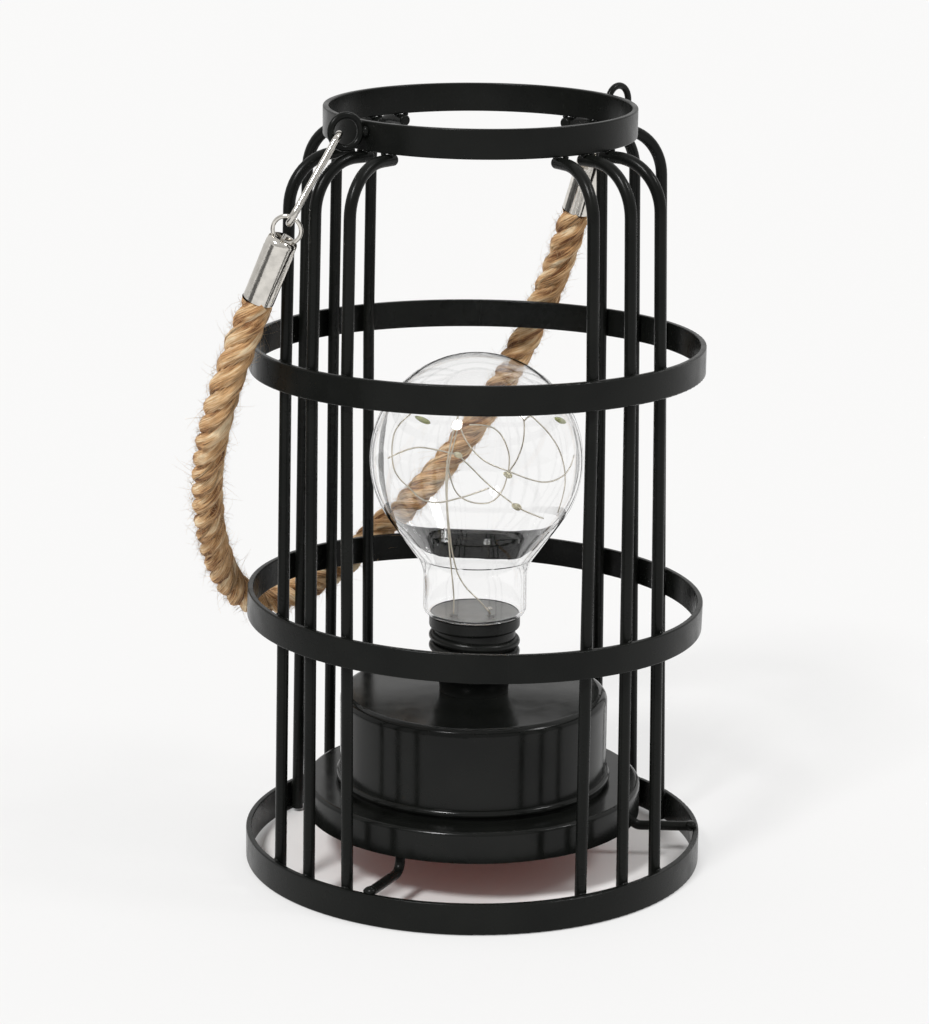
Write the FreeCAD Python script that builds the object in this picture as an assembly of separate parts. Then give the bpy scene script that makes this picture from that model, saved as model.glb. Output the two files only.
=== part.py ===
import FreeCAD, Part
import math
import os

# Lantern table lamp: a black wire cage round a battery lamp, with a rope handle.
# Millimetres, +Z up, origin on the floor under the cage's centre, front toward -Y.
# Azimuths are in degrees: 0 is the front (-Y), 90 is the right (+X).

V = FreeCAD.Vector
UP = V(0, 0, 1)

# ---- cage: flat bands ----
BAND_THICKNESS = 2.0
BAND_EDGE_RADIUS = 0.5
BASE_RING_RADIUS = 80.0
BASE_RING_HEIGHT = 10.8
HOOP_HEIGHT = 9.8
LOWER_HOOP_TOP = 96.35
LOWER_HOOP_TILT = 1.38         # welded slightly out of level: its left side is higher
UPPER_HOOP_RADIUS = 77.75
LOWER_HOOP_CLEARANCE = 0.125
LOWER_HOOP_RADIUS = (BASE_RING_RADIUS + UPPER_HOOP_RADIUS) / 2 + LOWER_HOOP_CLEARANCE
UPPER_HOOP_TOP = 184.5
TOP_RING_RADIUS = 52.7
TOP_RING_TOP = 264.3
TOP_RING_TILT = 1.9            # welded slightly out of level: its back is higher

# ---- cage: uprights ----
UPRIGHT_RADIUS = 2.0
UPRIGHT_FOOT_Z = 1.0
UPRIGHT_SIDE_GAP = 0.2
UPRIGHT_FOOT_R = BASE_RING_RADIUS - BAND_THICKNESS - UPRIGHT_RADIUS - UPRIGHT_SIDE_GAP
UPRIGHT_HOOP_Z = 180.0
UPRIGHT_HOOP_R = UPPER_HOOP_RADIUS - BAND_THICKNESS - UPRIGHT_RADIUS - UPRIGHT_SIDE_GAP
UPRIGHT_LEAN = 1.95              # how far the upright leans in above the upper hoop
UPRIGHT_SHOULDER_R = UPRIGHT_HOOP_R - UPRIGHT_LEAN
UPRIGHT_END_REACH = 2.4          # how far the end shows inside the top ring
UPRIGHT_END_R = TOP_RING_RADIUS - BAND_THICKNESS - UPRIGHT_END_REACH
UPRIGHT_STRAIGHT_END = 6.3       # the straight run after the bend
UPRIGHT_BEND_RADIUS = UPRIGHT_SHOULDER_R - UPRIGHT_END_R - UPRIGHT_STRAIGHT_END
UPRIGHT_HOOP_BEND = 900.0      # the slight bend where the upright meets the upper hoop
UPRIGHT_WELD_GAP = 0.15
WIRE_END_ROUND = 0.45          # share of a wire's radius that its cut end is rounded by
GROUP_FOOT_AZIMUTHS = (-46.8, 41.7, 128.9, 224.6)
GROUP_TOP_AZIMUTHS = (-47.1, 42.0, 130.7, 224.3)
FOOT_SPACING = 13.3
TOP_SPACING = 12.1

# ---- cage: brackets and eye loops ----
BRACKET_RADIUS = 1.7
BRACKET_AZIMUTHS = (-26.0, 88.0, 207.5)
BRACKET_Z = 10.9
BRACKET_WELD_GAP = 0.2
BRACKET_OUTER_R = BASE_RING_RADIUS - BAND_THICKNESS - BRACKET_WELD_GAP
BRACKET_RISE_TOP = 25.5
BRACKET_BEND = 4.0
BRACKET_SIDE_GAP = 0.2
EYE_WIRE_RADIUS = 1.15
EYE_LOOP_RADIUS = 5.3          # centreline
EYE_GAP = 0.12
EYE_FRONT_WELD_AZIMUTH = -45.5
EYE_FRONT_TURN = -63.5         # azimuth that the loop points to from its weld
EYE_FRONT_Z = 259.77
EYE_BACK_WELD_AZIMUTH = 124.9
EYE_BACK_TURN = 137.4
EYE_BACK_Z = 262.00
EYE_FRONT_HANG = 49.8          # the hook hangs this far round the loop, outward from its lowest point
EYE_BACK_HANG = 46.3

# ---- lamp base ----
SHEET = 1.2
BODY_RADIUS = 46.8
BODY_TOP = 60.1
BODY_TOP_ROUND = 3.0
BODY_FOOT_Z = 31.6
BEAD_RADIUS = 1.4              # rolled bead round the foot of the body
STEP_Z = 28.0
SKIRT_RADIUS = 58.8
SKIRT_ROUND = 1.5
SKIRT_BOTTOM = 17.1
NECK_HOLE_RADIUS = 8.2

# ---- neck, plug and bulb ----
NECK_STUB_RADIUS = 8.0
NECK_STUB_BOTTOM = 53.0
NECK_SEAT_RADIUS = 12.1
NECK_CORE_RADIUS = 13.9
NECK_FLARE_TOP = 66.0
NECK_CUP_BOTTOM = 82.9
NECK_CUP_RADIUS = 15.85
NECK_CUP_ROUND = 1.2
NECK_CUP_SLOPE = 0.6
NECK_RIM_Z = 87.7
NECK_CUP_BORE = 14.3
NECK_CUP_FLOOR = 80.0
NECK_WIRE_BORE = 6.5
NECK_FLARE_MID_R = 12.55       # a point on the flare's curve
NECK_FLARE_MID_Z = 63.55
NECK_RIM_ROUND = 0.4
THREAD_MAJOR = 14.35
THREAD_MINOR = 1.6
THREAD_ZS = (75.3, 79.0)
THREAD_TILT = 4.0
THREAD_BITE = 0.3              # how deep the ridges run into the core
NUT_RADIUS = 12.0
NUT_HEIGHT = 3.4
SEAT_GAP = 0.05
PLUG_RADIUS = 15.1
PLUG_TOP = 88.4
PLUG_SPIGOT_RADIUS = 14.1
GLASS_WALL = 0.9
GLASS_RADIUS = 36.7
GLASS_CENTRE_Z = 142.9
GLASS_NECK_RADIUS = 18.0
GLASS_BOTTOM = 87.8
GLASS_CORNER = 2.6
GLASS_TANGENT_ANGLE = 36.0     # where the ball runs into the neck's cone, below its equator
GLASS_NECK_BEND = 12.9
GLASS_HOLE_RADIUS = 15.25

# ---- light string ----
LED_WIRE_RADIUS = 0.3
LED_BUSH_RADIUS = 1.4
LED_BUSH_HEIGHT = 1.1
LED_BEAD_RADIUS = 1.3
LED_BEAD_LENGTH = 2.6
LED_BEAD_ROUND = 0.78
LED_BEAD_FIT = 0.03
LED_BEAD_RUNS = (3, 5, 6, 8, 9)    # runs of the wire's route that have a bead at their middle
LED_ENTRIES = ((-7.3, -7.0), (5.4, -7.0))

# ---- inside the base ----
COVER_RADIUS = 51.0
COVER_BOTTOM = 18.6
COVER_THICKNESS = 2.0
COVER_RIM_WALL = 1.6
COVER_RIM_GAP = 0.1
POST_RADIUS = 3.0
POST_BORE = 1.2
POST_INSET = 6.8
POST_PLACE_R = BODY_RADIUS - POST_INSET
POST_AZIMUTHS = (0.0, 150.0, 210.0)
SCREW_RADIUS = 1.15
SCREW_HEAD_RADIUS = 2.6
SCREW_HEAD_HEIGHT = 1.2
SCREW_LENGTH = 12.0
SCREW_HOLE_RADIUS = 1.5
SCREW_RECESS_RADIUS = 1.0
SCREW_RECESS_DEPTH = 0.66
TRAY_WALL = 1.5
TRAY_INNER_X = 27.15           # half length inside
TRAY_INNER_Y = 23.5            # half width inside
TRAY_TOP = 37.5
TRAY_GAP = 0.1
BATTERY_RADIUS = 7.15
BATTERY_LENGTH = 50.5
BATTERY_NUB_RADIUS = 2.7
BATTERY_NUB_LENGTH = 1.3
BATTERY_PITCH = 15.2
BATTERY_Z = 28.2
BATTERY_SHIFT = 1.2
BATTERY_ROUND = 0.6
CONTACT_PLATE = 0.5
CONTACT_HALF = 4.5
SPRING_WIRE = 0.35
SPRING_RADIUS = 3.2
SPRING_TURNS = 2
SPRING_STEPS = 8               # route points in each turn of the coil
DOOR_HALF_X = 27.5
DOOR_HALF_Y = 22.7
DOOR_CLEARANCE = 0.3
DOOR_THICKNESS = 1.7
DOOR_GRIP_RADIUS = 5.0
DOOR_GRIP_DEPTH = 0.9
DOOR_GRIP_MARGIN = 2.0
DOOR_CORNER = 1.2
SWITCH_Y = 37.0
SWITCH_HALF_X = 9.0
SWITCH_HALF_Y = 4.0
SWITCH_TOP = 27.0
SWITCH_CAVITY_X = 7.5
SWITCH_CAVITY_Y = 2.6
SWITCH_CAVITY_TOP = 25.0
KNOB_SHOE_X = 3.2
KNOB_SHOE_Y = 2.3
KNOB_SHOE_BOTTOM = 21.0
KNOB_SHOE_TOP = 23.5
KNOB_HALF_X = 2.0
KNOB_HALF_Y = 1.5
KNOB_BOTTOM = 17.3
KNOB_TRAVEL = 4.0
SLOT_HALF_X = 4.4
SLOT_HALF_Y = 1.9
BOARD_HALF_X = 18.0
BOARD_HALF_Y = 12.0
BOARD_BOTTOM = 41.0
BOARD_THICKNESS = 1.6
STANDOFF_RADIUS = 2.0
STANDOFF_INSET = 3.0
CHIP_X = -5.0
CHIP_HALF = 3.0
CHIP_HEIGHT = 1.6
CAPACITOR_X = 8.0
CAPACITOR_Y = -5.0
CAPACITOR_RADIUS = 3.0
CAPACITOR_HEIGHT = 7.0
RESISTOR_X = -14.0
RESISTOR_FIRST_Y = -8.0
RESISTOR_PITCH = 4.0
RESISTOR_COUNT = 3
RESISTOR_HALF_X = 1.5
RESISTOR_HALF_Y = 0.8
RESISTOR_HEIGHT = 0.8
LEAD_RADIUS = 0.6
LEAD_BEND = 2.0
LEAD_INSET = 2.0
LAMP_LEAD_X = 2.5
LAMP_LEAD_Y = 4.0
BATTERY_LEAD_Y = 8.0
BATTERY_LEAD_RISE = 5.0
SWITCH_LEAD_X = 3.0
SWITCH_LEAD_RISE = 3.0

# ---- handle hardware ----
HOOK_WIRE_RADIUS = 1.15
HOOK_HALF_WIDTH = 3.4          # centreline
HOOK_LENGTH = 35.5             # over all
HOOK_FRONT_SEAT_GAP = 1.07         # the slant of each hook on its eye takes most of this up
HOOK_BACK_SEAT_GAP = 1.51
HOOK_FRONT_ROLL = 37.8         # how far each hook is turned about its own length
HOOK_BACK_ROLL = -38.7
HOOK_NOSE = 8.3                # the nose ends this far below an eye wire that touches the hook's top
HOOK_TONGUE_LENGTH = 4.0
HOOK_TONGUE_HALF = 0.5
HOOK_SHOULDER_GAP = 0.2
GATE_RADIUS = 0.95
GATE_END_GAP = 0.3
GATE_CHEEK = 0.45
GATE_CHEEK_GAP = 0.12
GATE_CHEEK_RADIUS = 1.25
GATE_NECK_GAP = 0.35
GATE_NECK_HEIGHT = 0.9
GATE_PIN_RADIUS = 0.4
GATE_PIN_FIT = 0.04
GATE_PIN_STANDS_OUT = 0.1
RING_WIRE_RADIUS = 0.7
RING_RADIUS = 4.65             # centreline
RING_GAP = 0.12
FERRULE_RADIUS = 5.25
FERRULE_LENGTH = 23.3
FERRULE_WALL = 0.7
FERRULE_DOME = 2.1
FERRULE_DOME_TOP_RADIUS = 3.4
FERRULE_DOME_MID_R = 4.7       # a point on the dome's curve
FERRULE_DOME_MID_Z = -0.75
FERRULE_SLOT_HALF = 1.5
FERRULE_SLOT_DEPTH = 4.8
FERRULE_CAP = 1.2
FERRULE_BAR_RADIUS = 0.75
FERRULE_BAR_DEPTH = 0.2
FERRULE_BAR_BITE = 0.8         # how far the bar runs into each side of the slot
SEAM_WIDTH = 0.35
SEAM_DEPTH = 0.3

# ---- rope handle ----
ROPE_RADIUS = 5.5
ROPE_TAIL_RADIUS = 4.45        # squeezed part inside a ferrule
ROPE_TAIL_LENGTH = 14.0
ROPE_TAIL_OVERLAP = 0.5
FRONT_HOOK_AIM = V(-63.4, -52.7, 227.4)
FRONT_HEADING = V(-0.365, 0.21, -0.898)
BACK_HOOK_AIM = V(39.0, 67.7, 244.0)
BACK_HEADING = V(-0.238, 0.30, -0.923)
ROPE_END_RUN = 20.0            # the rope leaves each ferrule straight for this long
ROPE_POINTS = (
    (-86.1, -33.2, 165.4),
    (-90.9, -18.6, 145.2),
    (-92.5, -3.6, 125.4),
    (-91.5, 11.4, 107.0),
    (-88.2, 25.8, 91.4),
    (-81.2, 38.6, 80.2),
    (-70.4, 50.6, 77.2),
    (-58.4, 61.9, 81.7),
    (-42.6, 73.6, 90.4),
    (-27.4, 83.3, 104.0),
    (-11.9, 88.5, 119.8),
    (1.5, 90.4, 137.6),
    (12.6, 89.6, 157.0),
    (22.0, 86.6, 176.8),
)

CUT_PAST = 1.0                 # how far cutting shapes run past what they cut


# ---- helpers ----
def polar(radius, azimuth, z):
    """A point at a radius and azimuth from the lamp's axis."""
    a = math.radians(azimuth)
    return V(radius * math.sin(a), -radius * math.cos(a), z)


def cylinder(radius, bottom, top, x=0.0, y=0.0):
    return Part.makeCylinder(radius, top - bottom, V(x, y, bottom), UP)


def box(x0, x1, y0, y1, z0, z1):
    return Part.makeBox(x1 - x0, y1 - y0, z1 - z0, V(x0, y0, z0))


def spun(outline):
    """A solid spun round Z. Each entry is (r, z), or (r, z, mid_r, mid_z) to reach it by an arc."""
    edges = []
    last = outline[0]
    for point in outline[1:] + outline[:1]:
        start = V(last[0], 0, last[1])
        end = V(point[0], 0, point[1])
        if start.distanceToPoint(end) > 1e-6:
            if len(point) == 4 and point is not outline[0]:
                edges.append(Part.Arc(start, V(point[2], 0, point[3]), end).toShape())
            else:
                edges.append(Part.LineSegment(start, end).toShape())
        last = point
    face = Part.Face(Part.Wire(edges))
    return face.revolve(V(0, 0, 0), UP, 360)


def quarter(centre_r, centre_z, radius, start_deg, end_deg):
    """The outline entry for an arc about a centre that ends at end_deg."""
    mid = math.radians((start_deg + end_deg) / 2)
    end = math.radians(end_deg)
    return (centre_r + radius * math.cos(end), centre_z + radius * math.sin(end),
            centre_r + radius * math.cos(mid), centre_z + radius * math.sin(mid))


def bent_route(points, radii):
    """Straight runs between points, joined by tangent arcs of the given radii."""
    edges = []
    start = points[0]
    for corner, after, radius in zip(points[1:-1], points[2:], radii):
        arrive = (corner - start).normalize()
        leave = (after - corner).normalize()
        turn = arrive.getAngle(leave)
        reach = radius * math.tan(turn / 2)
        first = corner - arrive * reach
        last = corner + leave * reach
        inward = (leave - arrive).normalize()
        middle = corner + inward * (radius / math.cos(turn / 2) - radius)
        edges.append(Part.LineSegment(start, first).toShape())
        edges.append(Part.Arc(first, middle, last).toShape())
        start = last
    edges.append(Part.LineSegment(start, points[-1]).toShape())
    return Part.Wire(edges)


def tube(points, radii, radius):
    """A round bar along a bent route."""
    route = bent_route(points, radii)
    heading = (points[1] - points[0]).normalize()
    section = Part.Wire(Part.makeCircle(radius, points[0], heading))
    return route.makePipeShell([section], True, False)


def blended(points, share=0.45):
    """The largest even radius at each inner point of a route."""
    radii = []
    for before, corner, after in zip(points, points[1:], points[2:]):
        arrive = corner - before
        leave = after - corner
        turn = arrive.getAngle(leave)
        radii.append(share * min(arrive.Length, leave.Length) / math.tan(turn / 2))
    return radii


def round_end(solid, centre, size):
    """The bar's end edge round the given centre, rounded over."""
    for edge in solid.Edges:
        circle = isinstance(edge.Curve, Part.Circle) and edge.isClosed()
        if circle and edge.Curve.Center.distanceToPoint(centre) < 1e-3:
            return solid.makeFillet(size, [edge])
    return solid


def fused(shapes):
    whole = shapes[0]
    for shape in shapes[1:]:
        whole = whole.fuse(shape)
    return whole.removeSplitter()


def group(shapes):
    return Part.makeCompound(shapes)


def turned(shape, centre, axis, degrees):
    copy = shape.copy()
    copy.rotate(centre, axis, degrees)
    return copy


def placed(shape, origin, across, normal, along):
    """A shape built with X across, Y normal and -Z along, moved onto those directions."""
    down = V(-along.x, -along.y, -along.z)
    matrix = FreeCAD.Matrix(across.x, normal.x, down.x, origin.x,
                            across.y, normal.y, down.y, origin.y,
                            across.z, normal.z, down.z, origin.z,
                            0, 0, 0, 1)
    copy = shape.copy()
    copy.Placement = FreeCAD.Placement(matrix).multiply(copy.Placement)
    return copy


# ---- cage ----
def band(radius, top, height):
    """A flat strip bent into a hoop, with its edges rounded."""
    e = BAND_EDGE_RADIUS
    inner = radius - BAND_THICKNESS
    bottom = top - height
    return spun([
        (inner + e, bottom),
        (radius - e, bottom),
        quarter(radius - e, bottom + e, e, -90, 0),
        (radius, top - e),
        quarter(radius - e, top - e, e, 0, 90),
        (inner + e, top),
        quarter(inner + e, top - e, e, 90, 180),
        (inner, bottom + e),
        quarter(inner + e, bottom + e, e, 180, 270),
    ])


def tilted_band(radius, top, height, axis, degrees):
    return turned(band(radius, top, height), V(0, 0, top - height / 2), axis, degrees)


def top_ring_underside(y):
    return TOP_RING_TOP - HOOP_HEIGHT + y * math.tan(math.radians(TOP_RING_TILT))


def upright(foot_azimuth, top_azimuth):
    """One wire upright: straight legs, a slight bend at the upper hoop, and a bend in under the ring."""
    crossing = polar(TOP_RING_RADIUS - BAND_THICKNESS / 2, top_azimuth, 0)
    end_z = top_ring_underside(crossing.y) - UPRIGHT_RADIUS - UPRIGHT_WELD_GAP
    points = [
        polar(UPRIGHT_FOOT_R, foot_azimuth, UPRIGHT_FOOT_Z),
        polar(UPRIGHT_HOOP_R, top_azimuth, UPRIGHT_HOOP_Z),
        polar(UPRIGHT_SHOULDER_R, top_azimuth, end_z),
        polar(UPRIGHT_END_R, top_azimuth, end_z),
    ]
    bar = tube(points, [UPRIGHT_HOOP_BEND, UPRIGHT_BEND_RADIUS], UPRIGHT_RADIUS)
    return round_end(bar, points[-1], UPRIGHT_RADIUS * WIRE_END_ROUND)


def bracket(azimuth):
    """A wire that carries the base's skirt off the base ring."""
    rise_r = SKIRT_RADIUS - SHEET - BRACKET_RADIUS - BRACKET_SIDE_GAP
    points = [
        polar(BRACKET_OUTER_R, azimuth, BRACKET_Z),
        polar(rise_r, azimuth, BRACKET_Z),
        polar(rise_r, azimuth, BRACKET_RISE_TOP),
    ]
    bar = tube(points, [BRACKET_BEND], BRACKET_RADIUS)
    return round_end(bar, points[-1], BRACKET_RADIUS * WIRE_END_ROUND)


def eye_centre(weld_azimuth, turn, z):
    reach = EYE_LOOP_RADIUS + EYE_WIRE_RADIUS + EYE_GAP
    return polar(TOP_RING_RADIUS, weld_azimuth, z) + polar(reach, turn, 0)


def eye_loop(weld_azimuth, turn, z):
    normal = polar(1, turn, 0).cross(UP)
    return Part.makeTorus(EYE_LOOP_RADIUS, EYE_WIRE_RADIUS, eye_centre(weld_azimuth, turn, z), normal)


# ---- lamp base ----
def base_shell():
    """The spun body: a round-edged top, a rolled bead, a step and the wider skirt, in one sheet."""
    inner_body = BODY_RADIUS - SHEET
    inner_skirt = SKIRT_RADIUS - SHEET
    return spun([
        (NECK_HOLE_RADIUS, BODY_TOP),
        (BODY_RADIUS - BODY_TOP_ROUND, BODY_TOP),
        quarter(BODY_RADIUS - BODY_TOP_ROUND, BODY_TOP - BODY_TOP_ROUND, BODY_TOP_ROUND, 90, 0),
        (BODY_RADIUS, BODY_FOOT_Z),
        quarter(BODY_RADIUS, BODY_FOOT_Z - BEAD_RADIUS, BEAD_RADIUS, 90, -90),
        (BODY_RADIUS, STEP_Z),
        (SKIRT_RADIUS - SKIRT_ROUND, STEP_Z),
        quarter(SKIRT_RADIUS - SKIRT_ROUND, STEP_Z - SKIRT_ROUND, SKIRT_ROUND, 90, 0),
        (SKIRT_RADIUS, SKIRT_BOTTOM),
        (inner_skirt, SKIRT_BOTTOM),
        (inner_skirt, STEP_Z - SHEET),
        (inner_body, STEP_Z - SHEET),
        (inner_body, BODY_TOP - BODY_TOP_ROUND),
        quarter(BODY_RADIUS - BODY_TOP_ROUND, BODY_TOP - BODY_TOP_ROUND, BODY_TOP_ROUND - SHEET, 0, 90),
        (NECK_HOLE_RADIUS, BODY_TOP - SHEET),
    ])


def neck_collar():
    """The black neck: a stub through the base, a flare, two thread turns and the bulb's cup."""
    seat = BODY_TOP + SEAT_GAP
    collar = spun([
        (NECK_WIRE_BORE, NECK_STUB_BOTTOM),
        (NECK_STUB_RADIUS, NECK_STUB_BOTTOM),
        (NECK_STUB_RADIUS, seat),
        (NECK_SEAT_RADIUS, seat),
        (NECK_CORE_RADIUS, NECK_FLARE_TOP, NECK_FLARE_MID_R, NECK_FLARE_MID_Z),
        (NECK_CORE_RADIUS, NECK_CUP_BOTTOM - NECK_CUP_SLOPE),
        (NECK_CUP_RADIUS - NECK_CUP_ROUND, NECK_CUP_BOTTOM),
        quarter(NECK_CUP_RADIUS - NECK_CUP_ROUND, NECK_CUP_BOTTOM + NECK_CUP_ROUND, NECK_CUP_ROUND, -90, 0),
        (NECK_CUP_RADIUS, NECK_RIM_Z - NECK_RIM_ROUND),
        quarter(NECK_CUP_RADIUS - NECK_RIM_ROUND, NECK_RIM_Z - NECK_RIM_ROUND, NECK_RIM_ROUND, 0, 90),
        (NECK_CUP_BORE, NECK_RIM_Z),
        (NECK_CUP_BORE, NECK_CUP_FLOOR),
        (NECK_WIRE_BORE, NECK_CUP_FLOOR),
    ])
    turns = []
    for z in THREAD_ZS:
        centre = V(0, 0, z)
        ridge = Part.makeTorus(THREAD_MAJOR, THREAD_MINOR, centre, UP)
        ridge = turned(ridge, centre, V(0, 1, 0), THREAD_TILT)
        inside = cylinder(NECK_CORE_RADIUS - THREAD_BITE, z - THREAD_MAJOR, z + THREAD_MAJOR)
        turns.append(ridge.cut(inside))
    return fused([collar] + turns)


def neck_nut():
    top = BODY_TOP - SHEET - SEAT_GAP
    ring = Part.makeCylinder(NUT_RADIUS, NUT_HEIGHT, V(0, 0, top - NUT_HEIGHT), UP)
    return ring.cut(cylinder(NECK_STUB_RADIUS + SEAT_GAP, top - NUT_HEIGHT - CUT_PAST, top + CUT_PAST))


def glass_solid(inset):
    """The bulb's outline moved inward by inset, as a full solid."""
    ball = GLASS_RADIUS - inset
    neck = GLASS_NECK_RADIUS - inset
    bend = GLASS_NECK_BEND + inset
    corner = GLASS_CORNER - inset
    bottom = GLASS_BOTTOM + inset
    angle = math.radians(GLASS_TANGENT_ANGLE)
    tangent_r = ball * math.cos(angle)
    tangent_z = GLASS_CENTRE_Z - ball * math.sin(angle)
    # the cone from the ball meets the neck's cylinder where the bend is centred
    corner_z = tangent_z - (tangent_r - neck) * math.cos(angle) / math.sin(angle)
    reach = bend * math.tan(angle / 2)
    cone_end_r = neck + reach * math.sin(angle)
    cone_end_z = corner_z + reach * math.cos(angle)
    neck_z = corner_z - reach
    centre_r = neck + bend
    middle = math.radians(180 - GLASS_TANGENT_ANGLE / 2)
    side = math.radians((90 - GLASS_TANGENT_ANGLE) / 2)
    return spun([
        (0, bottom),
        (neck - corner, bottom),
        quarter(neck - corner, bottom + corner, corner, -90, 0),
        (neck, neck_z),
        (cone_end_r, cone_end_z, centre_r + bend * math.cos(middle), neck_z + bend * math.sin(middle)),
        (tangent_r, tangent_z),
        (0, GLASS_CENTRE_Z + ball, ball * math.cos(side), GLASS_CENTRE_Z + ball * math.sin(side)),
    ])


def bulb_glass():
    shell = glass_solid(0).cut(glass_solid(GLASS_WALL))
    return shell.cut(cylinder(GLASS_HOLE_RADIUS, GLASS_BOTTOM - CUT_PAST, GLASS_BOTTOM + GLASS_WALL + SHEET))


def led_plug():
    parts = [
        cylinder(PLUG_SPIGOT_RADIUS, NECK_CUP_FLOOR + 2 * SEAT_GAP, NECK_RIM_Z + SEAT_GAP),
        cylinder(PLUG_RADIUS, NECK_RIM_Z + SEAT_GAP, PLUG_TOP),
    ]
    for x, y in LED_ENTRIES:
        parts.append(cylinder(LED_BUSH_RADIUS, PLUG_TOP, PLUG_TOP + LED_BUSH_HEIGHT, x, y))
    return fused(parts)


def led_route():
    """The light string's wire: up from the left bush, round the bulb and down to the right bush."""
    foot = PLUG_TOP + LED_BUSH_HEIGHT + SEAT_GAP
    left = V(LED_ENTRIES[0][0], LED_ENTRIES[0][1], foot)
    right = V(LED_ENTRIES[1][0], LED_ENTRIES[1][1], foot)
    return [
        left,
        V(-9.0, -5.0, 118.0),
        V(-9.6, -3.0, 140.0),
        V(-15.0, 4.0, 152.0),
        V(-8.0, 12.0, 158.0),
        V(6.0, 10.0, 150.0),
        V(16.0, 2.0, 141.0),
        V(24.0, -8.0, 148.0),
        V(22.0, -12.0, 158.0),
        V(10.0, -10.0, 160.0),
        V(6.0, -8.0, 140.0),
        V(6.0, -7.0, 112.0),
        right,
    ]


def led_wire():
    points = led_route()
    return tube(points, blended(points), LED_WIRE_RADIUS)


def led_beads():
    """Small oval beads that sit round the wire."""
    beads = []
    for index in LED_BEAD_RUNS:
        before, here = led_route()[index - 1:index + 1]
        middle = (before + here) * 0.5
        heading = (here - before).normalize()
        foot = middle - heading * (LED_BEAD_LENGTH / 2)
        bead = Part.makeCylinder(LED_BEAD_RADIUS, LED_BEAD_LENGTH, foot, heading)
        bead = bead.makeFillet(LED_BEAD_ROUND, [e for e in bead.Edges if e.isClosed()])
        hole = Part.makeCylinder(LED_WIRE_RADIUS + LED_BEAD_FIT, LED_BEAD_LENGTH + 2 * CUT_PAST,
                                 foot - heading * CUT_PAST, heading)
        beads.append(bead.cut(hole))
    return group(beads)


# ---- inside the base ----
def post_places():
    return [polar(POST_PLACE_R, azimuth, 0) for azimuth in POST_AZIMUTHS]


def bottom_cover():
    """The underside: a plate with a rim up to the step, an opening for the door and a slot for the knob."""
    top = COVER_BOTTOM + COVER_THICKNESS
    rim_top = STEP_Z - SHEET - COVER_RIM_GAP
    plate = cylinder(COVER_RADIUS, COVER_BOTTOM, rim_top)
    plate = plate.cut(cylinder(COVER_RADIUS - COVER_RIM_WALL, top, rim_top + CUT_PAST))
    gap = DOOR_CLEARANCE
    plate = plate.cut(box(-DOOR_HALF_X - gap, DOOR_HALF_X + gap, -DOOR_HALF_Y - gap, DOOR_HALF_Y + gap,
                          COVER_BOTTOM - CUT_PAST, top + CUT_PAST))
    plate = plate.cut(box(-SLOT_HALF_X, SLOT_HALF_X, SWITCH_Y - SLOT_HALF_Y, SWITCH_Y + SLOT_HALF_Y,
                          COVER_BOTTOM - CUT_PAST, top + CUT_PAST))
    for place in post_places():
        hole = cylinder(SCREW_HOLE_RADIUS, COVER_BOTTOM - CUT_PAST, top + CUT_PAST, place.x, place.y)
        plate = plate.cut(hole)
    return plate


def support_posts():
    bottom = COVER_BOTTOM + COVER_THICKNESS + TRAY_GAP
    top = BODY_TOP - SHEET - SEAT_GAP
    posts = []
    for place in post_places():
        post = cylinder(POST_RADIUS, bottom, top, place.x, place.y)
        bore = cylinder(POST_BORE, bottom - CUT_PAST, bottom + SCREW_LENGTH, place.x, place.y)
        posts.append(post.cut(bore))
    return group(posts)


def cover_screws():
    under = COVER_BOTTOM - SEAT_GAP
    screws = []
    for place in post_places():
        head = cylinder(SCREW_HEAD_RADIUS, under - SCREW_HEAD_HEIGHT, under, place.x, place.y)
        foot = under - SCREW_HEAD_HEIGHT
        recess = cylinder(SCREW_RECESS_RADIUS, foot - CUT_PAST, foot + SCREW_RECESS_DEPTH, place.x, place.y)
        shank = cylinder(SCREW_RADIUS, under, under + SCREW_LENGTH, place.x, place.y)
        screws.append(fused([head.cut(recess), shank]))
    return group(screws)


def battery_door():
    """The plate that closes the battery opening, with a round finger grip."""
    plate = box(-DOOR_HALF_X, DOOR_HALF_X, -DOOR_HALF_Y, DOOR_HALF_Y,
                COVER_BOTTOM, COVER_BOTTOM + DOOR_THICKNESS)
    edges = [e for e in plate.Edges if abs(e.tangentAt(e.FirstParameter).z) > 0.9]
    plate = plate.makeFillet(DOOR_CORNER, edges)
    grip_y = -DOOR_HALF_Y + DOOR_GRIP_RADIUS + DOOR_GRIP_MARGIN
    grip = cylinder(DOOR_GRIP_RADIUS, COVER_BOTTOM - CUT_PAST, COVER_BOTTOM + DOOR_GRIP_DEPTH, 0, grip_y)
    return plate.cut(grip)


def battery_tray():
    """A box with an open underside, and four pillars for the circuit board on its closed top."""
    bottom = COVER_BOTTOM + COVER_THICKNESS + TRAY_GAP
    x = TRAY_INNER_X + TRAY_WALL
    y = TRAY_INNER_Y + TRAY_WALL
    tray = box(-x, x, -y, y, bottom, TRAY_TOP)
    tray = tray.cut(box(-TRAY_INNER_X, TRAY_INNER_X, -TRAY_INNER_Y, TRAY_INNER_Y,
                        bottom - CUT_PAST, TRAY_TOP - TRAY_WALL))
    pillars = []
    for side_x in (-1, 1):
        for side_y in (-1, 1):
            pillars.append(cylinder(STANDOFF_RADIUS, TRAY_TOP, BOARD_BOTTOM - SEAT_GAP,
                                    side_x * (BOARD_HALF_X - STANDOFF_INSET),
                                    side_y * (BOARD_HALF_Y - STANDOFF_INSET)))
    return fused([tray] + pillars)


def battery_side(index):
    """Which way a battery's nub points: the three lie head to tail."""
    return 1 if index % 2 == 0 else -1


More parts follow.
